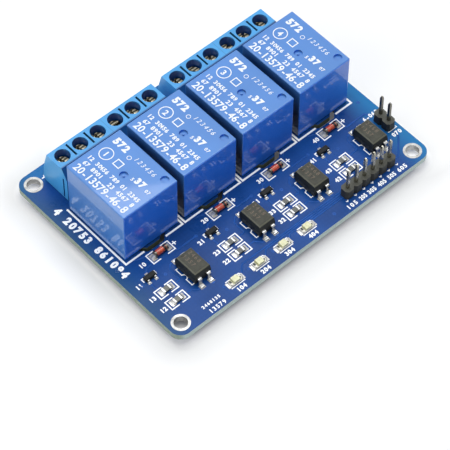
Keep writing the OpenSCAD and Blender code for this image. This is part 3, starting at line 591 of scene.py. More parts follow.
def terminal_finish(look):
    """Pale blue terminal plastic with a faint seam between blocks, painted shade in the screw wells and
    slits and on the faces towards the relays, and painted light on the left ends.
    """
    pale = look.plastic_colour
    f = Finish("terminal_plastic", pale, 0.36, Coat_Weight=0.2, Coat_Roughness=0.15)
    flow, fine = f.span(f.noise(4.0, 3.0), 0.3, 0.7), f.noise(0.3, 4.0)
    x, y, z = f.axes()
    turned_x, turned_y, _ = f.facing()
    first, second = middle(screws[6]), middle(screws[7])
    pitch, top = (second.x - first.x) * MM, terminals[0][1].z * MM
    inner, last = terminals[2][0].x * MM, terminals[3][0].x * MM
    outer = last + 3 * pitch
    sideways = f.size(x)
    pole = f.math("MODULO", f.less(sideways, first.x * MM - pitch / 2), pitch)
    pole = f.size(f.less(pole, pitch / 2))
    away = f.size(f.less(y, first.y * MM))
    # Painted shade: the walls of the screw wells are darkened below the top.
    well = f.times(f.span(f.distance(pole, away), 1.85 * MM, 1.95 * MM, 1.0, 0.0),
                   f.span(z, top - 0.05 * MM, top - 0.7 * MM))
    ends = f.times(f.span(sideways, inner + 0.2 * MM, inner + 0.4 * MM),
                   f.span(sideways, outer - 0.4 * MM, outer - 0.2 * MM, 1.0, 0.0))
    # Painted shade: the walls of the slits between two wells are near black.
    slit = f.times(f.span(pole, pitch / 2 - 0.3 * MM, pitch / 2 - 0.28 * MM),
                   f.span(away, 1.9 * MM, 1.95 * MM, 1.0, 0.0))
    slit = f.times(f.times(slit, f.span(z, top - 0.02 * MM, top - 0.1 * MM)), ends)
    seam = f.size(f.less(sideways, last))
    lip = min(v.co.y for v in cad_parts["terminal_block_1"].data.vertices
              if v.co.z > top - 0.05 * MM)
    # Painted shade: faces towards the relays, and a narrow band of the top along its front edge, take the
    # darker blue of the relays' shade.
    ledge_shade = f.times(f.span(y, lip + 0.2 * MM, lip + 0.4 * MM, 0.75, 0.0),
                    f.span(f.size(turned_x), 0.5, 0.8, 1.0, 0.15))
    f.coats(tint(pale, 0.92), (flow, tint(pale, 1.06)),
            (f.span(seam, 0.03 * MM, 0.09 * MM, 0.45, 0.0), tint(pale, 0.3)),
            (f.times(slit, 0.97), look.slit_shade_colour),
            (f.most(f.span(turned_y, -0.5, -0.2, 0.85, 0.0), ledge_shade), look.front_shade_colour),
            # Painted light: faces turned to the left are paler.
            (f.span(turned_x, -0.8, -0.5, 0.45, 0.0), look.lit_end_colour),
            (f.times(well, 0.97), look.well_shade_colour))
    f.use("Roughness", f.span(fine, 0.3, 0.7, 0.3, 0.42))
    return f.bumps((fine, 0.004), (f.noise(2.5, 2.0), 0.012))


def epoxy_finish(name, side, top):
    """Matt moulded epoxy: dark mottled sides, a mottled and speckled top in painted light, painted light on
    the front faces and painted highlights along the bevels.
    """
    f = Finish(name, side, 0.5, Specular_IOR_Level=0.3)
    grain = f.noise(0.12, 5.0, roughness=0.7)
    mottle = f.span(f.noise(0.6, 4.0), 0.35, 0.65)
    _, turned_y, up = f.facing()
    # Painted highlight: a thin bevel band between the sides and the top.
    bevel_highlight = f.times(f.span(up, 0.35, 0.5), f.span(up, 0.85, 0.95, 1.0, 0.0))
    # Painted light: the top is a lighter copy of the epoxy, mottled and speckled.
    rubbed = f.mix(mottle, tint(top, 1.15), tint(top, 0.72))
    rubbed = f.mix(f.span(grain, 0.55, 0.8, 0.0, 0.6), rubbed, tint(top, 1.7))
    # Painted light: the front faces take a lighter copy of the epoxy.
    f.coats(tint(side, 0.75), (mottle, tint(side, 1.25)),
            (f.span(turned_y, -0.9, -0.5, 0.7, 0.0), tint(top, 0.7)),
            (bevel_highlight, tint(top, 2.2)),
            (f.span(up, 0.85, 0.95), rubbed))
    f.use("Roughness", f.span(grain, 0.3, 0.7, 0.45, 0.65))
    return f.bumps((grain, 0.012), (mottle, 0.01))


def glass_finish(look):
    """Orange-red glass, darker and paler in patches."""
    red = look.glass_colour
    f = Finish("diode_glass", red, 0.12, Coat_Weight=1.0, Coat_Roughness=0.03, IOR=1.5)
    f.coats(tint(red, 0.65), (f.span(f.noise(0.5, 3.0), 0.3, 0.7), tint(red, 1.15)))
    return f.bumps((f.noise(0.8, 2.0), 0.01))


def lens_finish(look):
    """Pale yellow lamp resin with a milky heart."""
    resin = look.lens_colour
    f = Finish("lamp_resin", resin, 0.16, IOR=1.52, Transmission_Weight=0.2, Coat_Weight=0.6,
               Coat_Roughness=0.05, Subsurface_Weight=0.25, Subsurface_Scale=1.0,
               Subsurface_Radius=(0.5 * MM, 0.45 * MM, 0.3 * MM))
    f.coats(resin, (f.span(f.noise(0.4, 3.0), 0.35, 0.65), tint(resin, 0.86)))
    return f.bumps((f.noise(0.3, 2.0), 0.006))


def ink_finish(name, colour, roughness=0.5, glow=0.0):
    """Screened ink with a slightly uneven coat."""
    f = Finish(name, colour, roughness, Emission_Color=(*colour, 1), Emission_Strength=glow)
    uneven = f.span(f.noise(0.22, 4.0), 0.35, 0.7)
    f.coats(colour, (uneven, tint(colour, 0.86)))
    f.use("Roughness", f.span(uneven, 0.0, 1.0, roughness - 0.06, roughness + 0.1))
    return f.bumps((uneven, 0.004))


def wear(material, *nodes):
    """Gives packed nodes their finish."""
    for node in nodes:
        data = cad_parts[node].data
        data.materials.clear()
        data.materials.append(material)


# --- Sizes and colours that a user would change

def hue(name, description, *default):
    return bpy.props.FloatVectorProperty(name=name, description=description, default=default,
                                         subtype="COLOR", size=3, min=0.0, max=1.0)


def amount(name, description, default, low, high, **more):
    return bpy.props.FloatProperty(name=name, description=description, default=default, min=low,
                                   max=high, **more)


def length(name, description, *sizes):
    """A length and its limits, given in millimetres."""
    return amount(name, description, *(size * MM for size in sizes), unit="LENGTH", subtype="DISTANCE",
                  precision=5)


class BoardLook(bpy.types.PropertyGroup):
    """The board, its copper and its print."""
    mask_colour: hue("Mask", "Solder mask on the middle of the board", 0.006, 0.06, 0.26)
    # Painted reflections: the mask's left and right strips.
    mask_left_reflection_colour: hue("Mask, left strip", "Solder mask beside the left edge", 0.022, 0.088, 0.19)
    mask_right_reflection_colour: hue("Mask, right strip", "Solder mask beside the right edge", 0.012, 0.17, 0.42)
    laminate_colour: hue("Laminate", "Cut edges in front and behind", 0.63, 0.76, 0.74)
    # Painted light: the pads glow in this colour.
    pad_colour: hue("Pads", "Tinned pads", 0.38, 0.375, 0.35)
    # Painted shade: the darker laminate of the left and right cut edges.
    laminate_side_shade_colour: hue("Laminate, sides", "Cut edges left and right", 0.24, 0.29, 0.21)
    # Painted shade on the walls of the slots and holes.
    slot_shade_colour: hue("Slots", "Walls of the slots and holes", 0.18, 0.21, 0.155)
    ink_colour: hue("Print", "Ink of the lines and numbers", 0.82, 0.84, 0.86)
    track_width: length("Track width", "Width of a thin track", 0.4, 0.15, 0.8)
    power_track_width: length("Power track width", "Width of a track to a terminal", 2.0, 1.0, 2.6)
    copper_thickness: length("Copper", "How far a track stands above the board", 0.03, 0.01, 0.07)
    ink_thickness: length("Ink", "How far the print stands above the board", 0.035, 0.01, 0.07)
    frame_line: length("Relay outline", "Width of the lines round the relays", 0.45, 0.2, 0.6)
    part_line: length("Part outline", "Width of the lines round small parts", 0.28, 0.1, 0.4)
    title_height: length("Large numbers", "Height of the number row beside the left edge", 2.1, 1.0, 2.4)
    label_height: length("Small numbers", "Height of the numbers beside the parts", 1.15, 0.7, 1.4)


class RelayLook(bpy.types.PropertyGroup):
    """The relay cases and their print."""
    case_colour: hue("Case", "Blue of the cases", 0.055, 0.215, 0.6)
    # Painted shade on the front walls.
    case_shade_colour: hue("Case, front", "Deeper blue of the front walls", 0.004, 0.14, 0.78)
    base_colour: hue("Base", "Black plastic under a case", 0.05, 0.055, 0.045)
    # Painted light on the front walls, towards the right and near the foot.
    case_painted_light_colour: hue("Case front, haze", "Front faces where light reaches them", 0.035, 0.25, 1.0)
    gap_shade_colour: hue("Gaps", "Shaded walls between two cases", 0.001, 0.008, 0.05)
    front_shade: amount("Front depth", "Share of the deeper blue in front", 0.9, 0.0, 1.0, subtype="FACTOR")
    ink_colour: hue("Print", "Ink on the cases", 0.86, 0.9, 0.95)
    ink_thickness: length("Ink", "How far the print stands above a case", 0.03, 0.01, 0.06)


class TerminalLook(bpy.types.PropertyGroup):
    """The terminal blocks, their screws and clamps."""
    plastic_colour: hue("Plastic", "Pale blue of the blocks", 0.045, 0.325, 0.7)
    # Painted shade in the screw wells.
    well_shade_colour: hue("Wells", "Dark walls of the screw wells", 0.002, 0.075, 0.3)
    front_shade_colour: hue("Plastic, front", "Terminal plastic in the relays' shade", 0.006, 0.05, 0.2)
    # Painted light: the paler left end faces.
    lit_end_colour: hue("Plastic, left ends", "Scuffed plastic of the left ends", 0.11, 0.5, 0.95)
    # Painted shade in the slits.
    slit_shade_colour: hue("Slits", "Walls of the slits between two wells", 0.002, 0.012, 0.04)
    # Painted highlight: the screws' streaks take this colour.
    screw_colour: hue("Screws", "Yellow plating of the screws", 0.9, 0.82, 0.58)
    # Painted shade: the near-black between the streaks.
    screw_shade_colour: hue("Screws, shade", "Dull film between the streaks", 0.07, 0.062, 0.035)
    thread_pitch: length("Thread pitch", "Rise of the thread in one turn", 0.45, 0.3, 0.6)
    thread_ridge: length("Thread ridge", "How far the thread stands out of the shank", 0.03, 0.01, 0.035)


class PartLook(bpy.types.PropertyGroup):
    """The small parts and the pin headers."""
    epoxy_colour: hue("Epoxy", "Sides of the moulded parts", 0.011, 0.014, 0.012)
    # Painted light: the tops are a lighter copy of the epoxy.
    epoxy_lit_top_colour: hue("Epoxy, top", "Rubbed tops of the moulded parts", 0.054, 0.055, 0.041)
    glass_colour: hue("Diode glass", "Glass of the diodes", 0.72, 0.1, 0.035)
    print_colour: hue("Body print", "Faint print on the black bodies", 0.15, 0.11, 0.075)
    # Painted reflection: the caps' tin is darkened for the dark surroundings it mirrors.
    cap_reflection_colour: hue("Diode caps", "Dulled tin of the diode caps", 0.2, 0.18, 0.15)
    band_colour: hue("Diode band", "Painted band round a diode", 0.01, 0.01, 0.01)
    film_colour: hue("Resistor", "Glazed film of the resistors", 0.085, 0.09, 0.08)
    lamp_colour: hue("Lamp base", "White laminate of the lamps", 0.78, 0.76, 0.68)
    lens_colour: hue("Lamp resin", "Pale yellow resin of the lamps", 0.78, 0.78, 0.42)
    tin_colour: hue("Tin", "Tinned metal of leads, pads and solder", 0.6, 0.6, 0.585)
    pin_colour: hue("Header pins", "Pale plating of the header pins", 0.5, 0.48, 0.4)
    header_colour: hue("Header strip", "Black plastic of the headers", 0.03, 0.031, 0.028)
    # Painted light: the tops are a lighter copy of the strip's black.
    header_lit_top_colour: hue("Header strip, top", "Dusty tops of the headers", 0.078, 0.08, 0.066)
    band_width: length("Band width", "Width of the painted band", 0.55, 0.2, 1.0)


class StageLook(bpy.types.PropertyGroup):
    """The floor, the lamps and the camera."""
    floor_colour: hue("Floor", "Pale table top", 0.84, 0.845, 0.85)
    floor_size: amount("Floor size", "Side of the floor", 6.0, 1.0, 20.0, unit="LENGTH", subtype="DISTANCE")
    floor_glow: amount("Floor glow", "Paleness added to the floor", 0.08, 0.0, 1.0)
    lamp_power: amount("Lamp", "Power of the large lamp overhead", 4.6, 0.0, 50.0, unit="POWER")
    sky_light: amount("Room light", "Plain light from all round", 0.36, 0.0, 2.0)
    focal_length: amount("Focal length", "Lens, in millimetres", 187.7, 20.0, 400.0)


LOOKS = {"relay_board": BoardLook, "relay_case": RelayLook, "relay_terminal": TerminalLook,
         "relay_part": PartLook, "relay_stage": StageLook}


# --- Routes of the tracks and places of the print, in millimetres

PIN_PITCH = 2.54
HALF_PITCH = PIN_PITCH / 2
SUPPLY_LINE = -9.75  # along Y
RELAY_FRAME = {"front": 0.8, "half": 8.1, "mouth": (-2.9, 3.2)}
LABEL_PITCH = 0.85
PIN_LABEL_LINE = -26.83  # along Y
ACROSS, DOWN = (1, 0), (0, -1)  # the ways that numbers read


def around(centre, *offsets):
    """Places set out from a centre."""
    return [(centre.x + x, centre.y + y) for x, y in offsets]


def part_of(row, channel):
    """The parts of one channel in a row, left to right."""
    share = len(row) // CHANNELS
    by_x = sorted(row, key=lambda box: box[0].x)
    return by_x[share * channel:share * (channel + 1)]


def ends_of(part, ends):
    """The end caps that belong to a part, left to right."""
    here = middle(part)
    near = [end for end in ends if abs(middle(end).y - here.y) < 0.5
            and abs(middle(end).x - here.x) < (part[1].x - part[0].x) / 2 + 1.0]
    return sorted(near, key=lambda end: end[0].x)


def top_tracks():
    """Thin tracks on the upper face, from part to part, none across another."""
    routes = []
    port = power_header[0].x + HALF_PITCH
    for k in range(CHANNELS):
        diode, transistor, opto = (middle(part_of(row, k)[0]) for row in (diodes, transistors, optos))
        upper, lower = sorted((middle(r) for r in part_of(resistors, k)), key=lambda c: -c.y)
        relay_x, lamp = middle(relays[k]).x, middle(lamp_bases[k])
        rear, front = optos[k][1].y + 1.2, optos[k][0].y - 1.2
        left_foot, right_foot = opto.x - HALF_PITCH, opto.x + HALF_PITCH
        routes += [
            around(diode, (-1.9, 0), (-3.2, 1.3)) + [(relay_x - 5.9, -5.9), (relay_x - 5.9, -2.6)],
            around(diode, (1.9, 0), (3.0, 1.1)) + [(relay_x + 4.6, -5.2), (relay_x + 4.6, -2.6)],
            around(diode, (-1.9, 0), (-3.0, -1.1)) + [(transistor.x + 1.0, diode.y - 1.1)]
            + around(transistor, (0, 1.3), (0, 0.9)),
            [(transistor.x - 0.95, transistor.y - 1.0), (transistor.x - 0.95, upper.y + 0.9),
             (upper.x - 1.0, upper.y)],
            [(upper.x + 1.1, upper.y), (opto.x - 3.5, upper.y), (opto.x - 3.5, rear - 1.0),
             (opto.x - 2.5, rear), (left_foot, rear)],
            [(lower.x + 1.1, lower.y), (opto.x - 3.6, lower.y), (opto.x - 2.4, front),
             (left_foot, front)],
            [(right_foot, rear), (opto.x + 2.4, rear), (opto.x + 3.6, rear - 1.2),
             (opto.x + 3.6, -13.4)],
            [(right_foot, front), (right_foot, front - 0.7)],
        ]
        rail = around(diode, (1.9, 0), (2.6, -0.7)) + [(diode.x + 2.6, SUPPLY_LINE + 0.6),
                                                       (diode.x + 3.2, SUPPLY_LINE)]
        if k < CHANNELS - 1:
            rail.append((part_of(transistors, k + 1)[0][0].x - 1.6, SUPPLY_LINE))
        else:
            rail += [(power_header[0].x - 0.2, SUPPLY_LINE), (port, SUPPLY_LINE - 1.5),
                     (port, power_header[1].y - HALF_PITCH)]
        lane = lamp.y + 2.3 - 0.5 * k
        routes += [rail,
                   around(lamp, (1.5, 0), (1.8, 0)) + [
                       (lamp.x + 1.8 + lane - lamp.y, lane),
                       (header[0].x + 0.8 + (2.4 if k == 0 else 0), lane)],
                   around(lamp, (-1.5, 0), (-2.7, 0.5)),
                   around(lower, (-1.1, 0), (-2.1, -1.0))]
    last, foot = header[1].x - HALF_PITCH, header[0].y + HALF_PITCH
    return routes + [[(last, foot), (last + 3.1, foot), (port, header[0].y + 5.4),
                      (port, power_header[0].y + HALF_PITCH)]]


def power_tracks():
    """Wide tracks on the under side, from the relays' contact pins to the terminals."""
    routes = []
    for k, (low, high) in enumerate(relays):
        x, y = middle(relays[k]).x, high.y - 2.0
        for pole, start, rise in ((0, [(x - 6.1, y)], 4.2), (2, [(x + 6.1, y)], 4.2),
                                  (1, [(x, low.y + 2.4), (x, y + 1.8)], 4.0)):
            screw = middle(screws[3 * k + pole])
            routes.append(start + [(screw.x, y + rise), (screw.x, screw.y - 1.4)])
    return routes


def via_places():
    places = []
    for k in range(CHANNELS):
        opto, transistor = middle(optos[k]), middle(part_of(transistors, k)[0])
        places += [(transistor.x + 3.1, -12.9), (opto.x + 2.77, -16.4), (opto.x + 3.6, -13.4),
                   (opto.x + HALF_PITCH, optos[k][0].y - 1.8),
                   *around(middle(lamp_bases[k]), (-2.7, 0.5))]
    places += [(part_of(transistors, k)[0][0].x - 1.6, SUPPLY_LINE) for k in range(1, CHANNELS)]
    return places + [(-34.2, -4.6), (-34.4, -12.0), (35.2, 1.4), (35.0, -6.4), (9.4, -25.4)]


def draw_brackets(ink, part, inner, outer, high, width):
    """A bracket on each side of a part."""
    for side in (-1, 1):
        ink.line(around(middle(part), (side * inner, high), (side * outer, high),
                        (side * outer, -high), (side * inner, -high)), width)


def draw_part_outlines(ink, look):
    """White lines round the relays, the terminals and the small parts."""
    thick, thin = look.frame_line / MM, look.part_line / MM
    fine = thin * 0.8
    for low, high in relays:
        centre = (low.x + high.x) / 2
        front, back = low.y - RELAY_FRAME["front"], high.y + 0.1
        left, right = centre - RELAY_FRAME["half"], centre + RELAY_FRAME["half"]
        ink.line([(left, back), (left, front), (centre + RELAY_FRAME["mouth"][0], front)], thick)
        ink.line([(centre + RELAY_FRAME["mouth"][1], front), (right, front), (right, back)], thick)
    for (low, _), (_, high) in (terminals[:2], terminals[2:]):
        ink.line([(low.x - 0.35, high.y + 0.3), (high.x + 0.35, high.y + 0.3)], thin)
    ink.area(arc((relays[0][0].x + 1.77, 24.75), 0.3, 0, 330, 11))
    for part in diodes:
        draw_brackets(ink, part, 1.0, 3.05, 1.34, thin)
        ink.line(around(middle(part), (3.27, 0), (4.37, 0)), thin)
        ink.line(around(middle(part), (3.82, -0.55), (3.82, 0.55)), thin)
    for part in transistors:
        for side in (-1, 1):
            ink.line(around(middle(part), (side * 1.75, -0.2), (side * 1.75, 0.75),
                            (side * 0.75, 0.75)), thin)
    for part in resistors:
        draw_brackets(ink, part, 0.42, 2.47, 1.2, thin)
    for low, high in optos:
        x, y = low.x - 0.32, (low.y + high.y) / 2
        notch = arc((x, y - 0.05), 0.72, 90, -90, 8)
        ink.line([(x + 0.5, y + 2.6), (x, y + 2.6)] + notch + [(x, y - 2.65), (x + 1.5, y - 2.65)], fine)
    for part in lamp_bases:
        for offsets in (((-1.95, -1.05), (1.95, -1.05)), ((-1.95, 1.05), (1.95, 1.05)),
                        ((1.95, 1.05), (1.95, 0.45))):
            ink.line(around(middle(part), *offsets), fine)
    for i in range(7):
        x, y = header[0].x + PIN_PITCH * i, header[0].y
        ink.line([(x - 0.3, y), (x, y - 0.3), (x + 0.3, y)], fine)
    low, high = power_header
    ink.line([(low.x + 0.2, low.y), (high.x + 0.2, low.y), (high.x + 0.2, low.y + 0.4)], fine)
    ink.line([(low.x + 0.9, high.y + 0.2), (high.x + 0.4, high.y + 0.2)], fine)


def draw_board_numbers(ink, look):
    """Plain numbers beside the parts, along the front edge and down the left side."""
    small = look.label_height / MM

    def label(text, x, y, pitch=LABEL_PITCH, weight=0.05, size=1.0, narrow=1.0):
        ink.number(text, (x, y), small * size, pitch, ACROSS, weight, narrow)

    ink.number("4 20753 861094", (-36.2, 15.25), look.title_height / MM, 1.73, DOWN, 0.06, 0.95)
    for k in range(CHANNELS):
        diode, transistor = middle(part_of(diodes, k)[0]), middle(part_of(transistors, k)[0])
        label(f"{k + 1}0", diode.x - (4.95 if k else 5.6), diode.y - 0.6)
        label(f"{k + 1}1", transistor.x - 3.75, transistor.y - 0.95)
        for i, part in enumerate(sorted(part_of(resistors, k), key=lambda box: box[0].y)):
            label(f"{k + 1}{2 + i}", middle(part).x - 4.3, middle(part).y - 0.6)
        lamp = middle(lamp_bases[k])
        label(f"{k + 1}04", lamp.x - 0.9, lamp.y - 2.7)
    for i, (x, pitch) in enumerate(((12.95, 1.05), (16.65, 0.68), (19.2, 0.8), (22.3, 0.78),
                                    (25.35, 0.76), (28.4, 0.92))):
        label(f"{i + 1}05", x, PIN_LABEL_LINE, pitch, 0.04, narrow=min(1.0, pitch / LABEL_PITCH))
    label("070", 34.5, power_header[0].y - 1.85, 0.9)
    label("6-060", 32.6, power_header[1].y + 0.55, 0.9)
    label("2468135", -28.35, -25.1, 0.74, size=0.7)
    label("13579", -27.7, -27.05, 0.95, 0.03, size=0.95)


def draw_case_print(ink, channel):
    """Plain digits, a square and rings on a relay's top, in its own axes: across the case, and along it."""
    def rows(*digits):
        for text, x, y, height, pitch, weight, *shape in digits:
            ink.number(text, (x, y), height, pitch, DOWN, weight, *shape)

    rows(("20-13579-46-8", -6.85, 7.6, 1.95, 1.27, 0.02, 0.92),
         ("12 30", -2.75, 7.9, 1.1, 0.86, 0.035),
         ("456 789 01 2345", -2.75, 3.9, 1.1, 0.83, 0.035),
         ("67 8901", -4.5, 7.4, 1.15, 0.86, 0.035),
         ("23 4567 8", -4.5, -0.6, 1.15, 0.9, 0.035),
         ("123456", 4.25, 0.8, 1.1, 1.12, 0.0, 1.0, 0.25),
         ("572", 4.0, 7.3, 1.95, 1.5, 0.06))
    ink.line(arc((1.0, 6.2), 1.6, 0, 345, 23), 0.22, closed=True)
    rows((f"{channel + 1}", 0.2, 6.2, 1.5, 1.0, 0.03))
    ink.line(arc((3.9, 2.1), 0.5, 0, 345, 15), 0.14, closed=True)
    ink.box(0.3, 1.5, 2.0, 3.3, 0.24)
    rows(("37", 0.3, -3.9, 1.8, 1.45, 0.065),
         ("5", 0.2, -2.7, 0.9, 1.0, 0.03),
         ("07", 0.3, -7.1, 0.9, 0.75, 0.03))


# --- Shapes that are stamped many times, one unit in size

def rings_shape(stations, count):
    """Faces round and between neighbouring rings of count points, from (ring, next ring) pairs."""
    return [(a * count + i, a * count + (i + 1) % count, b * count + (i + 1) % count, b * count + i)
            for a, b in stations for i in range(count)]


def fillet_shape():
    """Solder that climbs an end: from the end's foot outwards along X, hollow in section."""
    profile = [(0, 0), (1, 0), (0.64, 0.12), (0.34, 0.34), (0.14, 0.66), (0, 1)]
    stations = [(-0.5, 0.72), (-0.36, 1.0), (0.0, 1.06), (0.36, 1.0), (0.5, 0.72)]
    vertices = [(x * s / MM, y / MM, z * s / MM) for y, s in stations for x, z in profile]
    count = len(profile)
    ends = [tuple(range(count)), tuple(range(4 * count, 5 * count))]
    return vertices, ends + rings_shape([(r, r + 1) for r in range(4)], count)


def lathed_shape(profile, steps, axis="Z"):
    """A closed ring-shaped or domed body: a profile of (radius, height) turned about an axis."""
    vertices = []
    for s in range(steps):
        a = 2 * math.pi * s / steps
        for r, h in profile:
            spot = (r * math.cos(a), r * math.sin(a), h)
            vertices.append(tuple(c / MM for c in (spot if axis == "Z" else (spot[2], *spot[:2]))))
    return vertices, rings_shape([(s, (s + 1) % steps) for s in range(steps)], len(profile))


def stamp(name, shape, rows, material):
    """Sets one shape at every row's place, and keeps them as one piece of the board."""
    pattern = add_object(name + "_pattern", clean(plain_mesh(name + "_pattern", *shape), dist=1e-5))
    made = grow(stamp_tree(), name, points_mesh(name, rows), {"Shape": pattern, "Material": material})
    bpy.data.objects.remove(pattern)
    return seat(made, ROOT)


def pad_under(x, y):
    """The pad on the upper face that holds a place."""
    for low, high in pads:
        if high.z > TOP and low.x - 0.05 <= x <= high.x + 0.05 and low.y - 0.05 <= y <= high.y + 0.05:
            return low, high
    raise ValueError(f"no pad at {x:.2f}, {y:.2f}")


def tip_of(box, axis, side, depth):
    """The last stretch of a box on one side."""
    low, high = box[0].copy(), box[1].copy()
    if side > 0:
        low[axis] = high[axis] - depth
    else:
        high[axis] = low[axis] + depth
    return low, high


def fillet_row(end, axis, side, height, widen):
    """One fillet between an end's outer face and its pad's edge."""
    low, high = end
    c, pad = middle(end), pad_under(middle(end).x, middle(end).y)
    edge = (high if side > 0 else low)[axis]
    run = max(0.12, abs((pad[1] if side > 0 else pad[0])[axis] - edge) - 0.04)
    width = (high - low)[1 - axis] + widen
    place = [c.x, c.y, pad[1].z - 0.005]
    place[axis] = edge - 0.02 * side
    turn = math.atan2(side, 0) if axis else math.atan2(0, side)
    return tuple(place), math.degrees(turn), (run * MM, width * MM, height * MM)


def all_fillets():
    rows = []
    for parts, ends, height, widen in ((resistors, resistor_ends, 0.38, 0.16),
                                       (diodes, diode_ends, 0.7, -0.5)):
        for part in parts:
            for end, side in zip(ends_of(part, ends), (-1, 1)):
                rows.append(fillet_row(end, 0, side, height, widen))
    rows += [fillet_row(tip_of(part, 0, side, 0.3), 0, side, 0.22, -0.3)
             for part in lamp_bases for side in (-1, 1)]
    for feet, parts, depth, height, widen in ((transistor_feet, transistors, None, 0.22, 0.12),
                                              (opto_leads, optos, 0.5, 0.34, 0.2)):
        for foot in feet:
            part = min(parts, key=lambda box: (middle(box) - middle(foot)).length)
            side = 1 if middle(foot).y > middle(part).y else -1
            rows.append(fillet_row(tip_of(foot, 1, side, depth) if depth else foot, 1, side,
                                   height, widen))
    return rows


# --- Operators, one for each piece or group of like pieces

class RELAYBOARD_OT_board(bpy.types.Operator):
    """Give the board, its plating, pads and solder their finishes"""
    bl_idname = "relay_board.board"
    bl_label = "Finish the Board"

    def execute(self, context):
        look, tin = context.scene.relay_board, context.scene.relay_part.tin_colour
        wear(board_finish(look), "circuit_board")
        wear(metal_finish("hole_plating", (0.4, 0.4, 0.39), 0.42), "mounting_hole_plating")
        # Painted light: the pads glow faintly so they stay pale in the relays' shade.
        wear(metal_finish("tinned_pads", look.pad_colour, 0.4, depth=0.02, metal=0.4, glow=0.3),
             "solder_pads")
        wear(metal_finish("solder", tint(tin, 0.95), 0.3, grain=0.5, depth=0.02), "solder_joints")
        return {"FINISHED"}


class RELAYBOARD_OT_tracks(bpy.types.Operator):
    """Lay the masked copper: tracks on both faces, and the vias that join them"""
    bl_idname = "relay_board.tracks"
    bl_label = "Lay the Tracks"

    def execute(self, context):
        look = context.scene.relay_board
        copper, thick, tree = raised_mask_finish(look), look.copper_thickness, track_tree()
        half = thick / MM / 2
        for name, routes, level, width, bend in (
                ("top_tracks", top_tracks(), TOP + half, look.track_width, 0.3 * MM),
                ("power_tracks", power_tracks(), board_low.z - half, look.power_track_width, MM)):
            laid = grow(tree, name, paths_mesh(name, routes, level), {
                "Width": width, "Thickness": thick, "Bend": bend, "Material": copper})
            seat(laid, ROOT)
        dome = [(0.42, 0.0), (0.38, 0.9), (0.2, 1.0), (0.1, 0.45), (0.1, 0.0)]
        rows = [((x, y, TOP), 0.0, (MM, MM, 1.3 * thick)) for x, y in via_places()]
        stamp("vias", lathed_shape(dome, 16), rows, copper)
        return {"FINISHED"}


class RELAYBOARD_OT_print(bpy.types.Operator):
    """Print the white outlines and the plain numbers on the board"""
    bl_idname = "relay_board.print"
    bl_label = "Print the Board"

    def execute(self, context):
        look = context.scene.relay_board
        # Painted light: the print glows so it stays white in the relays' shade.
        white = ink_finish("board_print", look.ink_colour, glow=0.3)
        for name, draw in (("board_outlines", draw_part_outlines),
                           ("board_numbers", draw_board_numbers)):
            ink = Ink(TOP, look.ink_thickness / MM)
            draw(ink, look)
            ink.piece(name, white, "blue_solder_mask")
        return {"FINISHED"}


class RELAYBOARD_OT_relays(bpy.types.Operator):
    """Give the relays their finishes, and print plain digits on their tops"""
    bl_idname = "relay_board.relays"
    bl_label = "Finish the Relays"

    def execute(self, context):
        look, tin = context.scene.relay_case, context.scene.relay_part.tin_colour
        case = case_finish(look)
        base = moulded_finish("relay_base", look.base_colour, 0.42)
        white = ink_finish("case_print", look.ink_colour, 0.42)
        for k, (low, high) in enumerate(relays):
            wear(case, f"relay_{k + 1}_case")
            wear(base, f"relay_{k + 1}_base")
            ink = Ink(high.z, look.ink_thickness / MM, ((low.x + high.x) / 2, (low.y + high.y) / 2))
            draw_case_print(ink, k)
            ink.piece(f"relay_{k + 1}_print", white, "relay_blue_plastic")
        wear(metal_finish("relay_pin_tin", tin, 0.32), "relay_pins")
        return {"FINISHED"}


class RELAYBOARD_OT_terminals(bpy.types.Operator):
    """Finish the terminal blocks, contacts, screws and clamps, and cut the screws' threads"""
    bl_idname = "relay_board.terminals"
    bl_label = "Finish the Terminals"

    def execute(self, context):
        look = context.scene.relay_terminal
        wear(terminal_finish(look), *(f"terminal_block_{k + 1}" for k in range(CHANNELS)))
        wear(metal_finish("contact_tin", (0.72, 0.7, 0.62), 0.34), "terminal_contacts")
        zinc = screw_finish(look)
        wear(metal_finish("clamp_nickel", (0.66, 0.64, 0.58), 0.3, grain=0.35, depth=0.01),
             *(f"wire_clamp_{i + 1}" for i in range(POLES)))
        tree, ridge, pitch = thread_tree(), look.thread_ridge, look.thread_pitch
        for i, screw in enumerate(screws):
            wear(zinc, f"terminal_screw_{i + 1}")
            c = middle(screw)
            thread = grow(tree, f"screw_{i + 1}_thread", bpy.data.meshes.new("thread"), {
                "Radius": 1.25 * MM - ridge * 0.2, "Ridge": ridge, "Pitch": pitch,
                "Turns": 2.0 * MM / pitch, "Foot": Vector((c.x, c.y, screw[0].z + 0.2)) * MM,
                "Material": zinc})
            seat(thread, f"screw_{i + 1}")
        return {"FINISHED"}


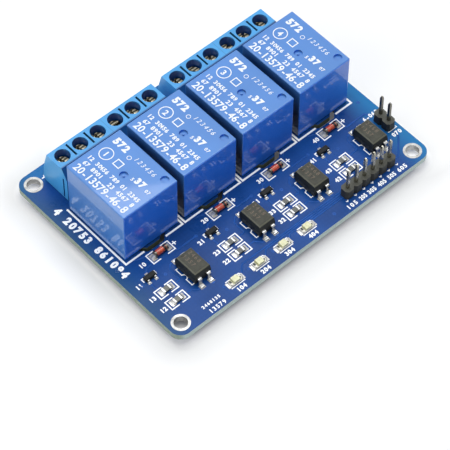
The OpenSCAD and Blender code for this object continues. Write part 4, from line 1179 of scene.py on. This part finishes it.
class RELAYBOARD_OT_parts(bpy.types.Operator):
    """Finish the small parts: optocouplers, transistors, diodes, resistors and lamps"""
    bl_idname = "relay_board.parts"
    bl_label = "Finish the Small Parts"

    def execute(self, context):
        look = context.scene.relay_part
        epoxy = look.epoxy_colour
        wear(epoxy_finish("moulded_epoxy", epoxy, look.epoxy_lit_top_colour),
             *(f"optocoupler_{k + 1}" for k in range(CHANNELS)))
        faint = ink_finish("body_print", look.print_colour)
        for k, box in enumerate(optos):
            ink = Ink(box[1].z, 0.012, middle(box))
            ink.number("2468", (0.55, 2.0), 0.95, 0.95, DOWN, 0.0)
            ink.number("1357", (-1.05, 2.0), 0.95, 0.95, DOWN, 0.0)
            ink.piece(f"optocoupler_{k + 1}_print", faint, "moulded_epoxy")
        wear(epoxy_finish("transistor_epoxy", tint(epoxy, 0.55), tint(epoxy, 0.6)),
             "transistor_bodies")
        wear(metal_finish("lead_tin", look.tin_colour, 0.3, grain=0.3),
             "optocoupler_leads", "transistor_leads")
        wear(metal_finish("diode_cap_tin", look.cap_reflection_colour, 0.28, grain=0.2), "diode_caps")
        wear(metal_finish("end_cap_tin", tint(look.tin_colour, 0.95), 0.32, grain=0.2, metal=0.7),
             "resistor_ends")
        wear(glass_finish(look), "diode_glass")
        wear(moulded_finish("resistor_film", look.film_colour, 0.25, grain=0.15, shade=0.3),
             "resistor_bodies")
        wear(moulded_finish("lamp_laminate", look.lamp_colour, 0.5, grain=0.2), "led_bases")
        wear(lens_finish(look), "led_lenses")
        return {"FINISHED"}


class RELAYBOARD_OT_bands(bpy.types.Operator):
    """Paint the diodes' bands and the lamps' marks"""
    bl_idname = "relay_board.bands"
    bl_label = "Paint the Bands"

    def execute(self, context):
        look = context.scene.relay_part
        radius = (diodes[0][1].z - diodes[0][0].z) / 2 + 0.012
        ring = [(radius - 0.03, -0.5), (radius, -0.5), (radius, 0.5), (radius - 0.03, 0.5)]
        rows = []
        for diode in diodes:
            c = middle(diode)
            rows.append(((diode[1].x - look.band_width / MM / 2 - 0.1, c.y, c.z), 0.0,
                         (look.band_width, MM, MM)))
        stamp("diode_bands", lathed_shape(ring, 28, "X"), rows,
              ink_finish("band_paint", look.band_colour, 0.35))
        marks = Ink(lamp_bases[0][1].z, 0.02)
        for part in lamp_bases:
            for left, right, low, high in ((-1.5, -1.02, -0.1, 0.6), (1.1, 1.45, -0.35, 0.05)):
                marks.area(around(middle(part), (left, high), (left, low), (right, low),
                                  (right, high)))
        marks.piece("lamp_marks", ink_finish("mark_paint", (0.03, 0.04, 0.035)), "lamp_base")
        return {"FINISHED"}


class RELAYBOARD_OT_solder(bpy.types.Operator):
    """Add the solder fillets at the ends and feet of the small parts"""
    bl_idname = "relay_board.solder"
    bl_label = "Solder the Small Parts"

    def execute(self, context):
        tin = context.scene.relay_part.tin_colour
        solder = metal_finish("fillet_solder", tint(tin, 0.9), 0.3, grain=0.3, depth=0.02, metal=0.6)
        stamp("solder_fillets", fillet_shape(), all_fillets(), solder)
        return {"FINISHED"}


class RELAYBOARD_OT_headers(bpy.types.Operator):
    """Finish the pin headers"""
    bl_idname = "relay_board.headers"
    bl_label = "Finish the Headers"

    def execute(self, context):
        look = context.scene.relay_part
        wear(epoxy_finish("header_plastic", look.header_colour, look.header_lit_top_colour),
             "signal_header_strip", "power_header_strip")
        wear(metal_finish("header_pin_plating", look.pin_colour, 0.22, grain=0.3),
             "signal_header_pins")
        wear(metal_finish("dull_pin_plating", tint(look.pin_colour, 0.4), 0.3, grain=0.3),
             "power_header_pins")
        return {"FINISHED"}


# The camera's place in metres, and the matrix of its right, upward and backward axes
CAMERA_PLACE = (-0.214317, -0.232427, 0.412999)
CAMERA_AXES = ((0.74134, 0.53867, -0.40030), (-0.67109, 0.60167, -0.43318), (0.00751, 0.58977, 0.80754))


class RELAYBOARD_OT_stage(bpy.types.Operator):
    """Set the pale floor, the soft lamps, the room light and the camera"""
    bl_idname = "relay_board.stage"
    bl_label = "Set the Stage"

    def execute(self, context):
        look = context.scene.relay_stage
        self.floor(look)
        self.lamp("overhead", (0.10, 0.14, 0.72), 0.6, look.lamp_power)
        self.lamp("side", (-0.55, 0.05, 0.38), 0.45, look.lamp_power * 0.22)
        self.room(context.scene, look)
        self.camera(context.scene, look)
        context.scene.view_settings.view_transform = "Standard"
        return {"FINISHED"}

    def floor(self, look):
        """A pale sheet, paler away from the board, with painted shadow near the board's front and left, and
        painted light along its edge and under its corner holes.
        """
        half, level = look.floor_size / MM / 2, cad_box[0][2] / MM - 0.01
        sheet = plain_mesh("table", [(-half, -half, level), (half, -half, level), (half, half, level),
                                     (-half, half, level)], [(0, 1, 2, 3)])
        f = Finish("table_top", look.floor_colour, 0.6, Emission_Color=(1, 1, 1, 1))
        rays = f.node("LightPath").outputs
        seen = f.most(f.most(rays["Is Camera Ray"], rays["Is Glossy Ray"]),
                      rays["Is Transmission Ray"])
        x, y, _ = f.axes()
        across = f.sum(x, y)
        hole = middle(solids("mounting_hole_plating")[-1])
        past_x, past_y = f.less(f.size(x), hole.x * MM), f.less(f.size(y), hole.y * MM)
        beyond = f.less(f.distance(f.most(past_x, 0.0), f.most(past_y, 0.0)),
                        (board_high.x - hole.x) * MM)
        # Painted light: the floor glows under the corner holes, less under the front-left one.
        spot = f.times(f.span(f.distance(past_x, past_y), 1.4 * MM, 3.1 * MM, 1.0, 0.0),
                       f.span(across, -30 * MM, -10 * MM, 0.12, 0.55))
        # Painted shadow: on the front and left, within a few millimetres of the board, the floor is darker
        # and its general glow fades out.
        clear = f.most(f.span(beyond, 1.5 * MM, 7.8 * MM), f.span(across, 0.0, 12 * MM))
        # Painted light: a faint glow along the board's edge, just under and outside it, lightens the shadow
        # there.
        band = f.times(f.span(beyond, 0.0, 1.8 * MM, 0.2, 0.0), f.span(beyond, -MM, -0.5 * MM))
        glow = f.sum(f.sum(band, f.times(clear, look.floor_glow)), spot)
        f.coats(tint(look.floor_colour, 0.87), (clear, look.floor_colour))
        f.use("Emission Strength", f.times(seen, glow))
        sheet.materials.append(f.material)
        add_object("table", sheet)

    def lamp(self, name, place, size, power):
        data = bpy.data.lights.new(name, "AREA")
        data.shape, data.size, data.energy = "SQUARE", size, power
        made = add_object(name, data)
        made.location = place
        made.rotation_euler = (-Vector(place)).to_track_quat("-Z", "Y").to_euler()

    def room(self, scene, look):
        """Plain light for the surfaces, a brighter room in their reflections, white behind."""
        world = scene.world = bpy.data.worlds.new("room")
        world.use_nodes = True
        tree = world.node_tree
        tree.nodes.clear()

        def node(kind, inputs=None, **settings):
            return add_node(tree, "ShaderNode" + kind, inputs, **settings).outputs

        rays = node("LightPath")
        towards = node("SeparateXYZ", {0: node("TexCoord")["Generated"]})
        height = node("MapRange", {"Value": towards[2], "From Min": 0.1, "From Max": 0.95,
                                   "To Min": 1.0, "To Max": 0.62})[0]
        plain, mirrored, white = (
            node("Background", {"Color": colour, "Strength": strength})[0] for colour, strength in (
                ((0.96, 0.98, 1, 1), look.sky_light), ((0.97, 0.985, 1, 1), height),
                ((1, 1, 1, 1), 1.0)))
        shine = node("Math", {0: rays["Is Glossy Ray"], 1: rays["Is Transmission Ray"]},
                     operation="MAXIMUM")[0]
        other = node("MixShader", {0: shine, 1: plain, 2: mirrored})[0]
        final = node("MixShader", {0: rays["Is Camera Ray"], 1: other, 2: white})[0]
        node("OutputWorld", {"Surface": final})

    def camera(self, scene, look):
        data = bpy.data.cameras.new("camera")
        data.lens, data.sensor_width = look.focal_length, 36.0
        data.clip_start, data.clip_end = 0.01, 20.0
        scene.camera = add_object("camera", data)
        scene.camera.matrix_world = Matrix.Translation(CAMERA_PLACE) @ Matrix(CAMERA_AXES).to_4x4()


OPERATORS = (RELAYBOARD_OT_stage, RELAYBOARD_OT_board, RELAYBOARD_OT_tracks, RELAYBOARD_OT_print,
             RELAYBOARD_OT_relays, RELAYBOARD_OT_terminals, RELAYBOARD_OT_parts, RELAYBOARD_OT_bands,
             RELAYBOARD_OT_solder, RELAYBOARD_OT_headers)


class RELAYBOARD_PT_panel(bpy.types.Panel):
    """Sizes, colours and steps of the relay board's dressing"""
    bl_idname = "RELAYBOARD_PT_panel"
    bl_label = "Relay Board"
    bl_space_type = "VIEW_3D"
    bl_region_type = "UI"
    bl_category = "Relay Board"

    def draw(self, context):
        layout = self.layout
        for key, look in LOOKS.items():
            box = layout.box()
            box.label(text=look.__doc__.split(".")[0])
            for name in look.__annotations__:
                box.prop(getattr(context.scene, key), name)
        for operator in OPERATORS:
            layout.operator(operator.bl_idname)


CLASSES = (*LOOKS.values(), *OPERATORS, RELAYBOARD_PT_panel)


def register():
    for item in CLASSES:
        bpy.utils.register_class(item)
    for key, look in LOOKS.items():
        setattr(bpy.types.Scene, key, bpy.props.PointerProperty(type=look))


def unregister():
    for key in LOOKS:
        delattr(bpy.types.Scene, key)
    for item in reversed(CLASSES):
        bpy.utils.unregister_class(item)


def main():
    """Registers the tools and runs each in order."""
    register()
    for operator in OPERATORS:
        group, name = operator.bl_idname.split(".")
        getattr(getattr(bpy.ops, group), name)()


if __name__ == "__main__":
    main()
